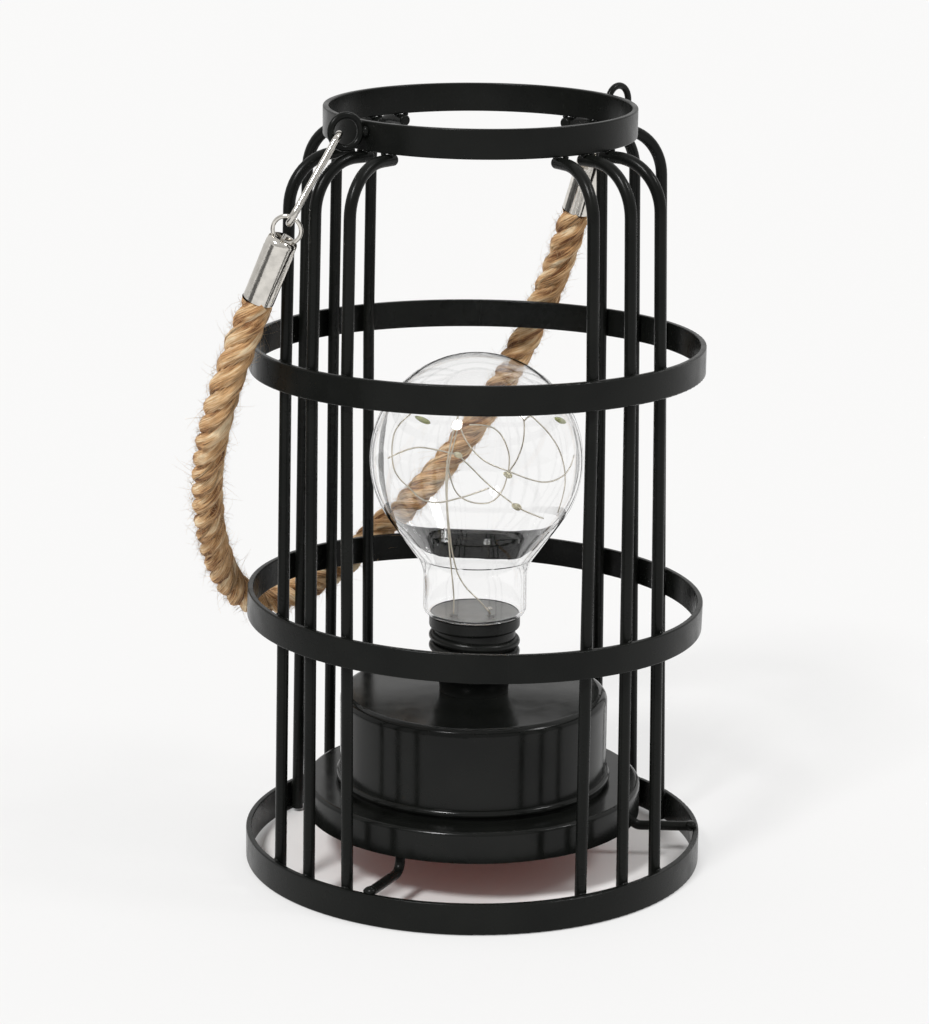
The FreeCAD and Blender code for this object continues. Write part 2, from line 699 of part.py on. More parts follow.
def battery(index):
    y = (index - 1) * BATTERY_PITCH
    side = battery_side(index)
    flat_end = -BATTERY_LENGTH / 2 + BATTERY_SHIFT
    heading = V(side, 0, 0)
    body = Part.makeCylinder(BATTERY_RADIUS, BATTERY_LENGTH - BATTERY_NUB_LENGTH,
                             V(side * flat_end, y, BATTERY_Z), heading)
    body = body.makeFillet(BATTERY_ROUND, [e for e in body.Edges if isinstance(e.Curve, Part.Circle)])
    nub_start = flat_end + BATTERY_LENGTH - BATTERY_NUB_LENGTH
    nub = Part.makeCylinder(BATTERY_NUB_RADIUS, BATTERY_NUB_LENGTH,
                            V(side * nub_start, y, BATTERY_Z), heading)
    return fused([body, nub])


def plate_face():
    """Where the contact plates' inner faces stand, from the tray's middle."""
    return TRAY_INNER_X - TRAY_GAP - CONTACT_PLATE


def contact_plates():
    plates = []
    for index in range(3):
        y = (index - 1) * BATTERY_PITCH
        for side in (-1, 1):
            near = side * plate_face()
            far = side * (plate_face() + CONTACT_PLATE)
            plates.append(box(min(near, far), max(near, far), y - CONTACT_HALF, y + CONTACT_HALF,
                              BATTERY_Z - CONTACT_HALF, BATTERY_Z + CONTACT_HALF))
    return group(plates)


def battery_springs():
    """A short coil between each battery's flat end and its contact plate."""
    springs = []
    flat_end = BATTERY_LENGTH / 2 - BATTERY_SHIFT
    room = plate_face() - flat_end
    first = flat_end + SPRING_WIRE + SEAT_GAP
    last = flat_end + room - SPRING_WIRE - SEAT_GAP
    steps = SPRING_TURNS * SPRING_STEPS
    for index in range(3):
        side = -battery_side(index)
        y = (index - 1) * BATTERY_PITCH
        points = []
        for step in range(steps + 1):
            turn = 2 * math.pi * step / SPRING_STEPS
            x = first + (last - first) * step / steps
            points.append(V(side * x, y + SPRING_RADIUS * math.cos(turn),
                            BATTERY_Z + SPRING_RADIUS * math.sin(turn)))
        springs.append(tube(points, blended(points), SPRING_WIRE))
    return group(springs)


def switch_body():
    bottom = COVER_BOTTOM + COVER_THICKNESS + TRAY_GAP
    body = box(-SWITCH_HALF_X, SWITCH_HALF_X, SWITCH_Y - SWITCH_HALF_Y, SWITCH_Y + SWITCH_HALF_Y,
               bottom, SWITCH_TOP)
    return body.cut(box(-SWITCH_CAVITY_X, SWITCH_CAVITY_X, SWITCH_Y - SWITCH_CAVITY_Y,
                        SWITCH_Y + SWITCH_CAVITY_Y, bottom - CUT_PAST, SWITCH_CAVITY_TOP))


def switch_knob():
    """The sliding knob, in its off place at the left end of its slot."""
    x = -KNOB_TRAVEL / 2
    shoe = box(x - KNOB_SHOE_X, x + KNOB_SHOE_X, SWITCH_Y - KNOB_SHOE_Y, SWITCH_Y + KNOB_SHOE_Y,
               KNOB_SHOE_BOTTOM, KNOB_SHOE_TOP)
    stem = box(x - KNOB_HALF_X, x + KNOB_HALF_X, SWITCH_Y - KNOB_HALF_Y, SWITCH_Y + KNOB_HALF_Y,
               KNOB_BOTTOM, KNOB_SHOE_BOTTOM)
    return fused([shoe, stem])


def board_top():
    return BOARD_BOTTOM + BOARD_THICKNESS


def circuit_board():
    return box(-BOARD_HALF_X, BOARD_HALF_X, -BOARD_HALF_Y, BOARD_HALF_Y, BOARD_BOTTOM, board_top())


def board_parts():
    """A chip, a capacitor and a row of small resistors on the board."""
    z = board_top() + SEAT_GAP
    parts = [
        box(CHIP_X - CHIP_HALF, CHIP_X + CHIP_HALF, -CHIP_HALF, CHIP_HALF, z, z + CHIP_HEIGHT),
        cylinder(CAPACITOR_RADIUS, z, z + CAPACITOR_HEIGHT, CAPACITOR_X, CAPACITOR_Y),
    ]
    for step in range(RESISTOR_COUNT):
        y = RESISTOR_FIRST_Y + RESISTOR_PITCH * step
        parts.append(box(RESISTOR_X - RESISTOR_HALF_X, RESISTOR_X + RESISTOR_HALF_X,
                         y - RESISTOR_HALF_Y, y + RESISTOR_HALF_Y, z, z + RESISTOR_HEIGHT))
    return group(parts)


def lamp_leads():
    """Two leads from the board up the neck to the plug."""
    top = NECK_CUP_FLOOR + SEAT_GAP
    leads = []
    for side in (-1, 1):
        leads.append(cylinder(LEAD_RADIUS, board_top() + SEAT_GAP, top, side * LAMP_LEAD_X, LAMP_LEAD_Y))
    return group(leads)


def battery_leads():
    """A lead from each end of the tray over to the board."""
    leads = []
    end = TRAY_INNER_X + TRAY_WALL / 2
    inner = BOARD_HALF_X - LEAD_INSET
    high = board_top() + BATTERY_LEAD_RISE
    for side in (-1, 1):
        points = [
            V(side * end, BATTERY_LEAD_Y, TRAY_TOP + SEAT_GAP),
            V(side * end, BATTERY_LEAD_Y, high),
            V(side * inner, BATTERY_LEAD_Y, high),
            V(side * inner, BATTERY_LEAD_Y, board_top() + SEAT_GAP),
        ]
        leads.append(tube(points, [LEAD_BEND, LEAD_BEND], LEAD_RADIUS))
    return group(leads)


def switch_leads():
    leads = []
    near = BOARD_HALF_Y - LEAD_INSET
    high = board_top() + SWITCH_LEAD_RISE
    for side in (-1, 1):
        x = side * SWITCH_LEAD_X
        points = [
            V(x, SWITCH_Y, SWITCH_TOP + SEAT_GAP),
            V(x, SWITCH_Y, high),
            V(x, near, high),
            V(x, near, board_top() + SEAT_GAP),
        ]
        leads.append(tube(points, [LEAD_BEND, LEAD_BEND], LEAD_RADIUS))
    return group(leads)


# ---- handle hardware, built with its length down -Z from an eye wire that it touches at the origin ----
def hook_inner_radius():
    return HOOK_HALF_WIDTH - HOOK_WIRE_RADIUS


def hook_top_centre():
    """How far below the eye's wire the hook's top arc is centred."""
    return hook_inner_radius() - EYE_WIRE_RADIUS


def hook_bottom_centre():
    return hook_top_centre() - HOOK_HALF_WIDTH * 2 - HOOK_WIRE_RADIUS * 2 + HOOK_LENGTH


def gate_pivot():
    return hook_bottom_centre() - HOOK_TONGUE_LENGTH / 2


def hook_to_ring():
    """From the middle of the hook's wire to the centre of the jump ring that hangs on it."""
    return RING_RADIUS - RING_WIRE_RADIUS - RING_GAP - HOOK_WIRE_RADIUS


def ring_to_ferrule():
    """From the jump ring's centre to the ferrule's top, whose bar the ring goes under."""
    return RING_RADIUS - RING_WIRE_RADIUS - RING_GAP - FERRULE_BAR_RADIUS - FERRULE_BAR_DEPTH


def snap_hook():
    """The hook's wire: nose, top arc, spine, bottom arc, and a flat tongue for the gate."""
    w = HOOK_HALF_WIDTH
    top = -hook_top_centre()
    bottom = -hook_bottom_centre()
    edges = [
        Part.LineSegment(V(-w, 0, -HOOK_NOSE), V(-w, 0, top)).toShape(),
        Part.Arc(V(-w, 0, top), V(0, 0, top + w), V(w, 0, top)).toShape(),
        Part.LineSegment(V(w, 0, top), V(w, 0, bottom)).toShape(),
        Part.Arc(V(w, 0, bottom), V(0, 0, bottom - w), V(-w, 0, bottom)).toShape(),
    ]
    route = Part.Wire(edges)
    section = Part.Wire(Part.makeCircle(HOOK_WIRE_RADIUS, V(-w, 0, -HOOK_NOSE), UP))
    wire = route.makePipeShell([section], True, False)
    tongue = cylinder(HOOK_WIRE_RADIUS, bottom, bottom + HOOK_TONGUE_LENGTH, -w, 0)
    flat = box(-w - HOOK_WIRE_RADIUS, -w + HOOK_WIRE_RADIUS, -HOOK_TONGUE_HALF, HOOK_TONGUE_HALF,
               bottom, bottom + HOOK_TONGUE_LENGTH)
    shoulder = bottom + HOOK_TONGUE_LENGTH / 2 - GATE_CHEEK_RADIUS - HOOK_SHOULDER_GAP
    tongue = fused([tongue.common(flat), cylinder(HOOK_WIRE_RADIUS, bottom, shoulder, -w, 0)])
    reach = HOOK_WIRE_RADIUS + CUT_PAST
    pin_hole = Part.makeCylinder(GATE_PIN_RADIUS, 2 * reach, V(-w, -reach, -gate_pivot()), V(0, 1, 0))
    return fused([wire, tongue]).cut(pin_hole)


def hook_gate():
    """The sprung gate: a wire from below the nose down to two cheeks round the tongue."""
    w = HOOK_HALF_WIDTH
    top = -HOOK_NOSE - GATE_END_GAP
    pivot = -gate_pivot()
    cheek_in = HOOK_TONGUE_HALF + GATE_CHEEK_GAP
    cheek_out = cheek_in + GATE_CHEEK
    neck = -hook_bottom_centre() + HOOK_TONGUE_LENGTH + GATE_NECK_GAP
    parts = [cylinder(GATE_RADIUS, neck, top, -w, 0)]
    for side in (-1, 1):
        near = side * cheek_in
        far = side * cheek_out
        cheek = Part.makeCylinder(GATE_CHEEK_RADIUS, GATE_CHEEK, V(-w, near, pivot), V(0, side, 0))
        arm = box(-w - GATE_RADIUS, -w + GATE_RADIUS, min(near, far), max(near, far),
                  pivot, neck + GATE_NECK_HEIGHT)
        parts.append(cheek)
        parts.append(arm)
    parts.append(box(-w - GATE_RADIUS, -w + GATE_RADIUS, -cheek_out, cheek_out,
                     neck, neck + GATE_NECK_HEIGHT))
    reach = cheek_out + CUT_PAST
    hole = Part.makeCylinder(GATE_PIN_RADIUS + GATE_PIN_FIT, 2 * reach, V(-w, -reach, pivot), V(0, 1, 0))
    return fused(parts).cut(hole)


def gate_pin():
    half = HOOK_TONGUE_HALF + GATE_CHEEK_GAP + GATE_CHEEK + GATE_PIN_STANDS_OUT
    return Part.makeCylinder(GATE_PIN_RADIUS, 2 * half, V(-HOOK_HALF_WIDTH, -half, -gate_pivot()), V(0, 1, 0))


def jump_ring_at(centre, normal):
    return Part.makeTorus(RING_RADIUS, RING_WIRE_RADIUS, centre, normal)


def ferrule():
    """The rope's end tube, top at the origin and down -Z: a dome with a slot and a cross bar for the ring."""
    dome_foot = -FERRULE_DOME
    slot_foot = -FERRULE_SLOT_DEPTH
    cap_foot = slot_foot - FERRULE_CAP
    bore = FERRULE_RADIUS - FERRULE_WALL
    body = spun([
        (0, 0),
        (FERRULE_DOME_TOP_RADIUS, 0),
        (FERRULE_RADIUS, dome_foot, FERRULE_DOME_MID_R, FERRULE_DOME_MID_Z),
        (FERRULE_RADIUS, -FERRULE_LENGTH),
        (bore, -FERRULE_LENGTH),
        (bore, cap_foot),
        (0, cap_foot),
    ])
    wide = FERRULE_RADIUS + CUT_PAST
    slot = box(-wide, wide, -FERRULE_SLOT_HALF, FERRULE_SLOT_HALF, slot_foot, CUT_PAST)
    seam = box(-SEAM_WIDTH / 2, SEAM_WIDTH / 2, -wide, -FERRULE_RADIUS + SEAM_DEPTH,
               -FERRULE_LENGTH - CUT_PAST, cap_foot)
    bar_half = FERRULE_SLOT_HALF + FERRULE_BAR_BITE
    bar = Part.makeCylinder(FERRULE_BAR_RADIUS, 2 * bar_half, V(0, -bar_half, -FERRULE_BAR_DEPTH), V(0, 1, 0))
    return fused([body.cut(slot).cut(seam), bar])


# ---- handle in place ----
def hang_point(weld_azimuth, turn, z, hang):
    """Where a hook hangs on an eye loop's wire: this many degrees outward from its lowest point."""
    angle = math.radians(hang)
    outward = polar(EYE_LOOP_RADIUS * math.sin(angle), turn, 0)
    return eye_centre(weld_azimuth, turn, z) + outward - UP * (EYE_LOOP_RADIUS * math.cos(angle))


def square_to(direction, other):
    """The part of a direction that is square to another, at unit length."""
    return (direction - other * direction.dot(other)).normalize()


def hook_frame(pivot, aim, axis, roll):
    """Directions of a hook hung from a pivot toward a point: across its legs, its normal, its length."""
    along = (aim - pivot).normalize()
    down = V(-along.x, -along.y, -along.z)
    square = square_to(axis, along)
    sideways = square.cross(down)
    normal = square * math.cos(math.radians(roll)) + sideways * math.sin(math.radians(roll))
    across = normal.cross(down)
    return across, normal, along


def ferrule_frame(top, bottom, ring_normal):
    along = (bottom - top).normalize()
    normal = square_to(ring_normal, along)
    across = normal.cross(V(-along.x, -along.y, -along.z))
    return across, normal, along


def handle_parts():
    """Everything that swings with the rope, by node name."""
    front_pivot = hang_point(EYE_FRONT_WELD_AZIMUTH, EYE_FRONT_TURN, EYE_FRONT_Z, EYE_FRONT_HANG)
    back_pivot = hang_point(EYE_BACK_WELD_AZIMUTH, EYE_BACK_TURN, EYE_BACK_Z, EYE_BACK_HANG)
    axis = (back_pivot - front_pivot).normalize()
    print("handle axis", [round(c, 5) for c in axis])
    nodes = {}
    ends = {}
    sides = (("front", front_pivot, FRONT_HOOK_AIM, HOOK_FRONT_SEAT_GAP, FRONT_HEADING, HOOK_FRONT_ROLL),
             ("back", back_pivot, BACK_HOOK_AIM, HOOK_BACK_SEAT_GAP, BACK_HEADING, HOOK_BACK_ROLL))
    for side, pivot, hook_aim, seat_gap, heading, roll in sides:
        across, normal, along = hook_frame(pivot, hook_aim, axis, roll)
        origin = pivot - along * seat_gap
        for name, shape in (("snap_hook", snap_hook()), ("hook_gate", hook_gate()), ("gate_pin", gate_pin())):
            nodes[name + "_" + side] = placed(shape, origin, across, normal, along)
        # the rope's pull slides the ring round the hook's bottom arc until the ring is square to the wire
        to_rope = V(heading).normalize()
        slide = math.atan2(to_rope.dot(across), to_rope.dot(along))
        outward = along * math.cos(slide) + across * math.sin(slide)
        ring_normal = across * math.cos(slide) - along * math.sin(slide)
        crossing = origin + along * hook_bottom_centre() + outward * HOOK_HALF_WIDTH
        centre = crossing + to_rope * hook_to_ring()
        nodes["jump_ring_" + side] = jump_ring_at(centre, ring_normal)
        top = centre + to_rope * ring_to_ferrule()
        bottom = top + to_rope * FERRULE_LENGTH
        nodes["ferrule_" + side] = placed(ferrule(), top, *ferrule_frame(top, bottom, ring_normal))
        ends[side] = (bottom, to_rope)
        gate_place = origin + along * gate_pivot() - across * HOOK_HALF_WIDTH
        print(side, "pivot", [round(c, 3) for c in pivot], "gate pivot", [round(c, 3) for c in gate_place],
              "gate axis", [round(c, 4) for c in normal])
        print(side, "ferrule ends at", [round(c, 2) for c in bottom],
              "heading", [round(c, 3) for c in to_rope], "ring centre", [round(c, 2) for c in centre])
    nodes["rope_handle"] = rope_handle(ends)
    return nodes


def rope_handle(ends):
    """The rope between the ferrules, with its squeezed ends inside them."""
    start, start_heading = ends["front"]
    end, end_heading = ends["back"]
    points = [start, start + start_heading * ROPE_END_RUN]
    points += [V(*point) for point in ROPE_POINTS]
    points += [end + end_heading * ROPE_END_RUN, end]
    radii = blended(points)
    runs = [(b - a).Length for a, b in zip(points, points[1:])]
    print("rope runs", [round(run, 1) for run in runs])
    print("rope radii", [round(radius, 1) for radius in radii])
    rope = tube(points, radii, ROPE_RADIUS)
    length = bent_route(points, radii).Length
    section = math.pi * ROPE_RADIUS ** 2
    print("rope length", round(length, 1), "volume share", round(rope.Volume / (section * length), 4))
    tails = []
    for foot, heading in ((start, start_heading), (end, end_heading)):
        back_up = V(-heading.x, -heading.y, -heading.z)
        tails.append(Part.makeCylinder(ROPE_TAIL_RADIUS, ROPE_TAIL_LENGTH + ROPE_TAIL_OVERLAP,
                                       foot + heading * ROPE_TAIL_OVERLAP, back_up))
    return fused([rope] + tails)


def build():
    nodes = {
        "base_ring": band(BASE_RING_RADIUS, BASE_RING_HEIGHT, BASE_RING_HEIGHT),
        "lower_hoop": tilted_band(LOWER_HOOP_RADIUS, LOWER_HOOP_TOP, HOOP_HEIGHT,
                                  V(0, 1, 0), LOWER_HOOP_TILT),
        "upper_hoop": band(UPPER_HOOP_RADIUS, UPPER_HOOP_TOP, HOOP_HEIGHT),
        "top_ring": tilted_band(TOP_RING_RADIUS, TOP_RING_TOP, HOOP_HEIGHT, V(1, 0, 0), TOP_RING_TILT),
        "handle_eye_front": eye_loop(EYE_FRONT_WELD_AZIMUTH, EYE_FRONT_TURN, EYE_FRONT_Z),
        "handle_eye_back": eye_loop(EYE_BACK_WELD_AZIMUTH, EYE_BACK_TURN, EYE_BACK_Z),
        "base_shell": base_shell(),
        "neck_collar": neck_collar(),
        "neck_nut": neck_nut(),
        "bulb_glass": bulb_glass(),
        "led_plug": led_plug(),
        "led_wire": led_wire(),
        "led_beads": led_beads(),
        "bottom_cover": bottom_cover(),
        "support_posts": support_posts(),
        "cover_screws": cover_screws(),
        "battery_door": battery_door(),
        "battery_tray": battery_tray(),
        "battery_springs": battery_springs(),
        "contact_plates": contact_plates(),
        "switch_body": switch_body(),
        "switch_knob": switch_knob(),
        "circuit_board": circuit_board(),
        "board_parts": board_parts(),
        "lamp_leads": lamp_leads(),
        "battery_leads": battery_leads(),
        "switch_leads": switch_leads(),
    }
    number = 0
    for foot_middle, top_middle in zip(GROUP_FOOT_AZIMUTHS, GROUP_TOP_AZIMUTHS):
        for step in (-1, 0, 1):
            number += 1
            nodes["upright_%02d" % number] = upright(foot_middle + step * FOOT_SPACING,
                                                     top_middle + step * TOP_SPACING)
    for number, azimuth in enumerate(BRACKET_AZIMUTHS, start=1):
        nodes["base_bracket_%d" % number] = bracket(azimuth)
    for index in range(3):
        nodes["battery_%d" % (index + 1)] = battery(index)
    nodes.update(handle_parts())
    return nodes


os.makedirs("parts", exist_ok=True)
for name, shape in build().items():
    solids = shape.Solids
    good = shape.isValid() and len(solids) > 0 and all(solid.Volume > 0 for solid in solids)
    print(name, len(solids), round(sum(solid.Volume for solid in solids), 1), "ok" if good else "BAD")
    kept = solids[0] if len(solids) == 1 else group(solids)
    kept.exportStep("parts/" + name + ".step")
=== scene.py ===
import math
import random

import bpy
import numpy as np
from mathutils import Matrix, Vector, noise


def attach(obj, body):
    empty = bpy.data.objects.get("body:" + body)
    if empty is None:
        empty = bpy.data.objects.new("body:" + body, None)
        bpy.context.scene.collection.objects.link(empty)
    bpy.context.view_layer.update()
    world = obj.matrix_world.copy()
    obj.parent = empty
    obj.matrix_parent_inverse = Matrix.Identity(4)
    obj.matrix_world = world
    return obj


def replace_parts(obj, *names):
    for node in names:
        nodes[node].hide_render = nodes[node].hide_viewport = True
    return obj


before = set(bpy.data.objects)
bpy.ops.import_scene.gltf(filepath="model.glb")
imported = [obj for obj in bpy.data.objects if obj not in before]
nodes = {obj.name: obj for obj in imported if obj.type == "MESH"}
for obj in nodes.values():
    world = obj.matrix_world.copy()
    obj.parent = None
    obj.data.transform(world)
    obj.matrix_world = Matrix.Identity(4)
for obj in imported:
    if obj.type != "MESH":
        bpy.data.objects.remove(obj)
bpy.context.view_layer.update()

# The looks of the lantern table lamp. Metres, in the solid model's frame.
rng = random.Random(7)
MM = 0.001
FULL_TURN = 2 * math.pi

# ---- camera: the photograph's viewpoint ----
CAMERA_ELEVATION = math.radians(14.212)
CAMERA_ROLL = math.radians(0.609)
CAMERA_DISTANCE = 1.05
CAMERA_TARGET = Vector((-0.00392, 0.0, 0.12391))
FOCAL_PIXELS = 3040.6
IMAGE_HEIGHT = 1024
SENSOR_WIDTH = 36
NEAREST_SEEN = 0.01
FURTHEST_SEEN = 100


def add_camera():
    forward = Vector((0, math.cos(CAMERA_ELEVATION), -math.sin(CAMERA_ELEVATION)))
    level_up = Vector((0, math.sin(CAMERA_ELEVATION), math.cos(CAMERA_ELEVATION)))
    level_right = Vector((1, 0, 0))
    right = level_right * math.cos(CAMERA_ROLL) + level_up * math.sin(CAMERA_ROLL)
    up = level_up * math.cos(CAMERA_ROLL) - level_right * math.sin(CAMERA_ROLL)
    camera_data = bpy.data.cameras.new("camera")
    camera_data.sensor_width = SENSOR_WIDTH
    camera_data.lens = FOCAL_PIXELS * SENSOR_WIDTH / IMAGE_HEIGHT
    camera_data.clip_start = NEAREST_SEEN
    camera_data.clip_end = FURTHEST_SEEN
    camera = bpy.data.objects.new("camera", camera_data)
    place = CAMERA_TARGET - forward * CAMERA_DISTANCE
    camera.matrix_world = Matrix((
        (right.x, up.x, -forward.x, place.x),
        (right.y, up.y, -forward.y, place.y),
        (right.z, up.z, -forward.z, place.z),
        (0, 0, 0, 1)))
    bpy.context.scene.collection.objects.link(camera)
    bpy.context.scene.camera = camera


add_camera()


# ---- materials ----
class Finish:
    """A material whose Principled shader takes its colour, roughness and bump from noise nodes."""

    def __init__(self, name, **sockets):
        self.material = bpy.data.materials.new(name)
        self.material.use_nodes = True
        self.tree = self.material.node_tree
        self.shader = self.tree.nodes["Principled BSDF"]
        self.coordinates = self.add("ShaderNodeTexCoord").outputs["Object"]
        self.bump = None
        for socket, value in sockets.items():
            self.shader.inputs[socket.replace("_", " ")].default_value = value

    def add(self, kind, links=(), **values):
        """A new node: each value goes to the input of that name, or else to the setting."""
        node = self.tree.nodes.new(kind)
        for key, value in values.items():
            if key in node.inputs:
                node.inputs[key].default_value = value
            else:
                setattr(node, key, value)
        for socket, source in dict(links).items():
            self.tree.links.new(source, node.inputs[socket])
        return node

    def noise(self, scale, detail=3.0, stretch=None, rough=0.5, source=None):
        vector = source or self.coordinates
        if stretch:
            mapping = self.add("ShaderNodeMapping", {"Vector": vector}, Scale=stretch)
            vector = mapping.outputs["Vector"]
        node = self.add("ShaderNodeTexNoise", {"Vector": vector}, Scale=scale, Detail=detail,
                        Roughness=rough)
        return node.outputs["Fac"]

    def colour(self, factor, stops):
        """Base colour from a ramp of (position, colour) stops."""
        ramp = self.add("ShaderNodeValToRGB", {"Fac": factor})
        elements = ramp.color_ramp.elements
        while len(elements) < len(stops):
            elements.new(0.5)
        for element, (position, colour) in zip(elements, stops):
            element.position = position
            element.color = (*colour, 1)
        self.tree.links.new(ramp.outputs["Color"], self.shader.inputs["Base Color"])

    def spread(self, factor, low, high, start=0.3, end=0.7):
        """The factor's part from start to end, stretched over low to high."""
        node = self.add("ShaderNodeMapRange", {"Value": factor}, **{
            "From Min": start, "From Max": end, "To Min": low, "To Max": high})
        return node.outputs["Result"]

    def roughness(self, factor, low, high):
        self.tree.links.new(self.spread(factor, low, high), self.shader.inputs["Roughness"])

    def raised(self, height, distance, strength=1.0):
        """A bump on top of the bumps given before."""
        links = {"Height": height}
        if self.bump is not None:
            links["Normal"] = self.bump
        node = self.add("ShaderNodeBump", links, Strength=strength, Distance=distance)
        self.bump = node.outputs["Normal"]
        self.tree.links.new(self.bump, self.shader.inputs["Normal"])


PAINT_STOPS = [(0.3, (0.004, 0.0045, 0.004)), (0.75, (0.0075, 0.008, 0.007))]
WAVE_TO_GRAIN = 3              # height of the paint's slow waves over its fine grain


def black_paint(name, low, high, specular, grain):
    """Glossy black lacquer: faint tone changes, uneven gloss and a fine orange peel."""
    finish = Finish(name, Specular_IOR_Level=specular)
    finish.colour(finish.noise(45, detail=4), PAINT_STOPS)
    finish.roughness(finish.noise(160, detail=4), low, high)
    finish.raised(finish.noise(900, detail=2), grain)
    finish.raised(finish.noise(60, detail=2), grain * WAVE_TO_GRAIN)
    return finish.material


cage_paint = black_paint("cage_paint", low=0.22, high=0.34, specular=0.13, grain=0.00002)
base_paint = black_paint("base_paint", low=0.14, high=0.21, specular=0.2, grain=0.000012)
neck_plastic = black_paint("neck_plastic", low=0.25, high=0.38, specular=0.2, grain=0.00002)

METAL_DARK_SHARE = 0.8
METAL_GRAIN = 0.00002


def bright_metal(name, tone, low, high):
    """Metal with duller patches, an uneven gloss and a fine grain."""
    finish = Finish(name, Metallic=1.0)
    dark = tuple(c * METAL_DARK_SHARE for c in tone)
    finish.colour(finish.noise(300, detail=5), [(0.32, dark), (0.62, tone)])
    finish.roughness(finish.noise(700, detail=4), low, high)
    finish.raised(finish.noise(1800, detail=3), METAL_GRAIN)
    return finish.material


plated = bright_metal("plated_steel", (0.74, 0.71, 0.66), low=0.07, high=0.18)
wire_metal = bright_metal("wire_metal", (0.78, 0.72, 0.6), low=0.3, high=0.45)
inner_metal = bright_metal("inner_metal", (0.6, 0.6, 0.6), low=0.25, high=0.45)

MOULDED_DARK_SHARE = 0.86
MOULDED_GRAIN = 0.00003


def moulded(name, tone, low=0.35, high=0.5):
    """Moulded plastic or resin with a fine surface grain and slight tone changes."""
    finish = Finish(name)
    dark = tuple(c * MOULDED_DARK_SHARE for c in tone)
    finish.colour(finish.noise(90, detail=4), [(0.3, dark), (0.7, tone)])
    finish.roughness(finish.noise(400, detail=3), low, high)
    finish.raised(finish.noise(2200, detail=2), MOULDED_GRAIN)
    return finish.material


red_cover = moulded("red_plastic", (0.42, 0.07, 0.03), 0.3, 0.42)
grey_plug = moulded("grey_plastic", (0.3, 0.3, 0.29), 0.3, 0.42)
black_inner = moulded("black_plastic", (0.02, 0.02, 0.021))
pale_knob = moulded("pale_plastic", (0.5, 0.5, 0.48))
board_green = moulded("circuit_board", (0.03, 0.16, 0.06), 0.3, 0.4)
lead_cover = moulded("lead_insulation", (0.25, 0.02, 0.02), 0.35, 0.45)
cream_resin = moulded("cream_resin", (0.78, 0.72, 0.5), 0.15, 0.25)
green_resin = moulded("green_resin", (0.5, 0.52, 0.25), 0.15, 0.25)


def battery_skin():
    """A sleeve in two plain tones with a ragged line between them."""
    finish = Finish("battery_can", Metallic=0.4)
    axes = finish.add("ShaderNodeSeparateXYZ", {"Vector": finish.coordinates})
    ragged = finish.add("ShaderNodeMath", {0: axes.outputs["X"], 1: finish.noise(500, detail=2)},
                        operation="ADD")
    line = finish.spread(ragged.outputs[0], 0, 1, start=0.49, end=0.51)
    finish.colour(line, [(0.45, (0.03, 0.03, 0.032)), (0.55, (0.35, 0.22, 0.1))])
    finish.roughness(finish.noise(600, detail=3), 0.25, 0.4)
    return finish.material


def bulb_finish():
    """Clear blown glass with slow waves in its wall."""
    finish = Finish("clear_glass", Transmission_Weight=1.0, IOR=1.45, Roughness=0.0,
                    Base_Color=(1, 1, 1, 1))
    finish.raised(finish.noise(28, detail=1, stretch=(1, 1, 0.35)), 0.0006, strength=0.5)
    finish.raised(finish.noise(110, detail=1, stretch=(1, 1, 0.3)), 0.00012, strength=0.5)
    return finish.material


FIBRE_STRETCH = (170, 2600, 1)
PATCH_STRETCH = (90, 260, 1)
PATCH_HEIGHT = 0.0012
FIBRE_HEIGHT = 0.0011


def jute_finish(name, stops, rough):
    """Twisted plant fibre, light and dark along the yarn, laid out by the piece's length map."""
    finish = Finish(name, Sheen_Weight=0.08, Sheen_Roughness=0.5, Specular_IOR_Level=0.25)
    along = finish.add("ShaderNodeTexCoord").outputs["UV"]
    fibres = finish.noise(1.0, detail=6, stretch=FIBRE_STRETCH, rough=0.62, source=along)
    patches = finish.noise(1.0, detail=3, stretch=PATCH_STRETCH, source=along)
    both = finish.add("ShaderNodeMath", {0: fibres, 1: patches}, operation="ADD")
    mean = finish.add("ShaderNodeMath", {0: both.outputs[0]}, operation="MULTIPLY")
    mean.inputs[1].default_value = 0.5
    finish.colour(mean.outputs[0], stops)
    finish.roughness(fibres, *rough)
    finish.raised(patches, PATCH_HEIGHT)
    finish.raised(fibres, FIBRE_HEIGHT)
    return finish.material


JUTE_STOPS = [(0.41, (0.17, 0.065, 0.02)), (0.47, (0.55, 0.29, 0.12)),
              (0.53, (0.82, 0.52, 0.26)), (0.59, (1.0, 0.8, 0.53))]
STRAY_STOPS = [(0.3, (0.62, 0.38, 0.17)), (0.7, (0.95, 0.74, 0.47))]
jute = jute_finish("jute", JUTE_STOPS, rough=(0.7, 0.95))
stray_jute = jute_finish("stray_jute", STRAY_STOPS, rough=(0.6, 0.9))


# ---- making pieces ----
def add_mesh(name, points, faces, body, finish, uvs=None):
    mesh = bpy.data.meshes.new(name)
    mesh.from_pydata([tuple(p) for p in points], [], faces)
    mesh.polygons.foreach_set("use_smooth", [True] * len(mesh.polygons))
    if uvs is not None:
        layer = mesh.uv_layers.new(name="along")
        corners = np.zeros(len(mesh.loops), np.int32)
        mesh.loops.foreach_get("vertex_index", corners)
        layer.data.foreach_set("uv", np.asarray(uvs, np.float32)[corners].ravel())
    mesh.update()
    mesh.materials.append(finish)
    piece = bpy.data.objects.new(name, mesh)
    bpy.context.scene.collection.objects.link(piece)
    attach(piece, body)
    return piece


CURVE_STEPS = 24


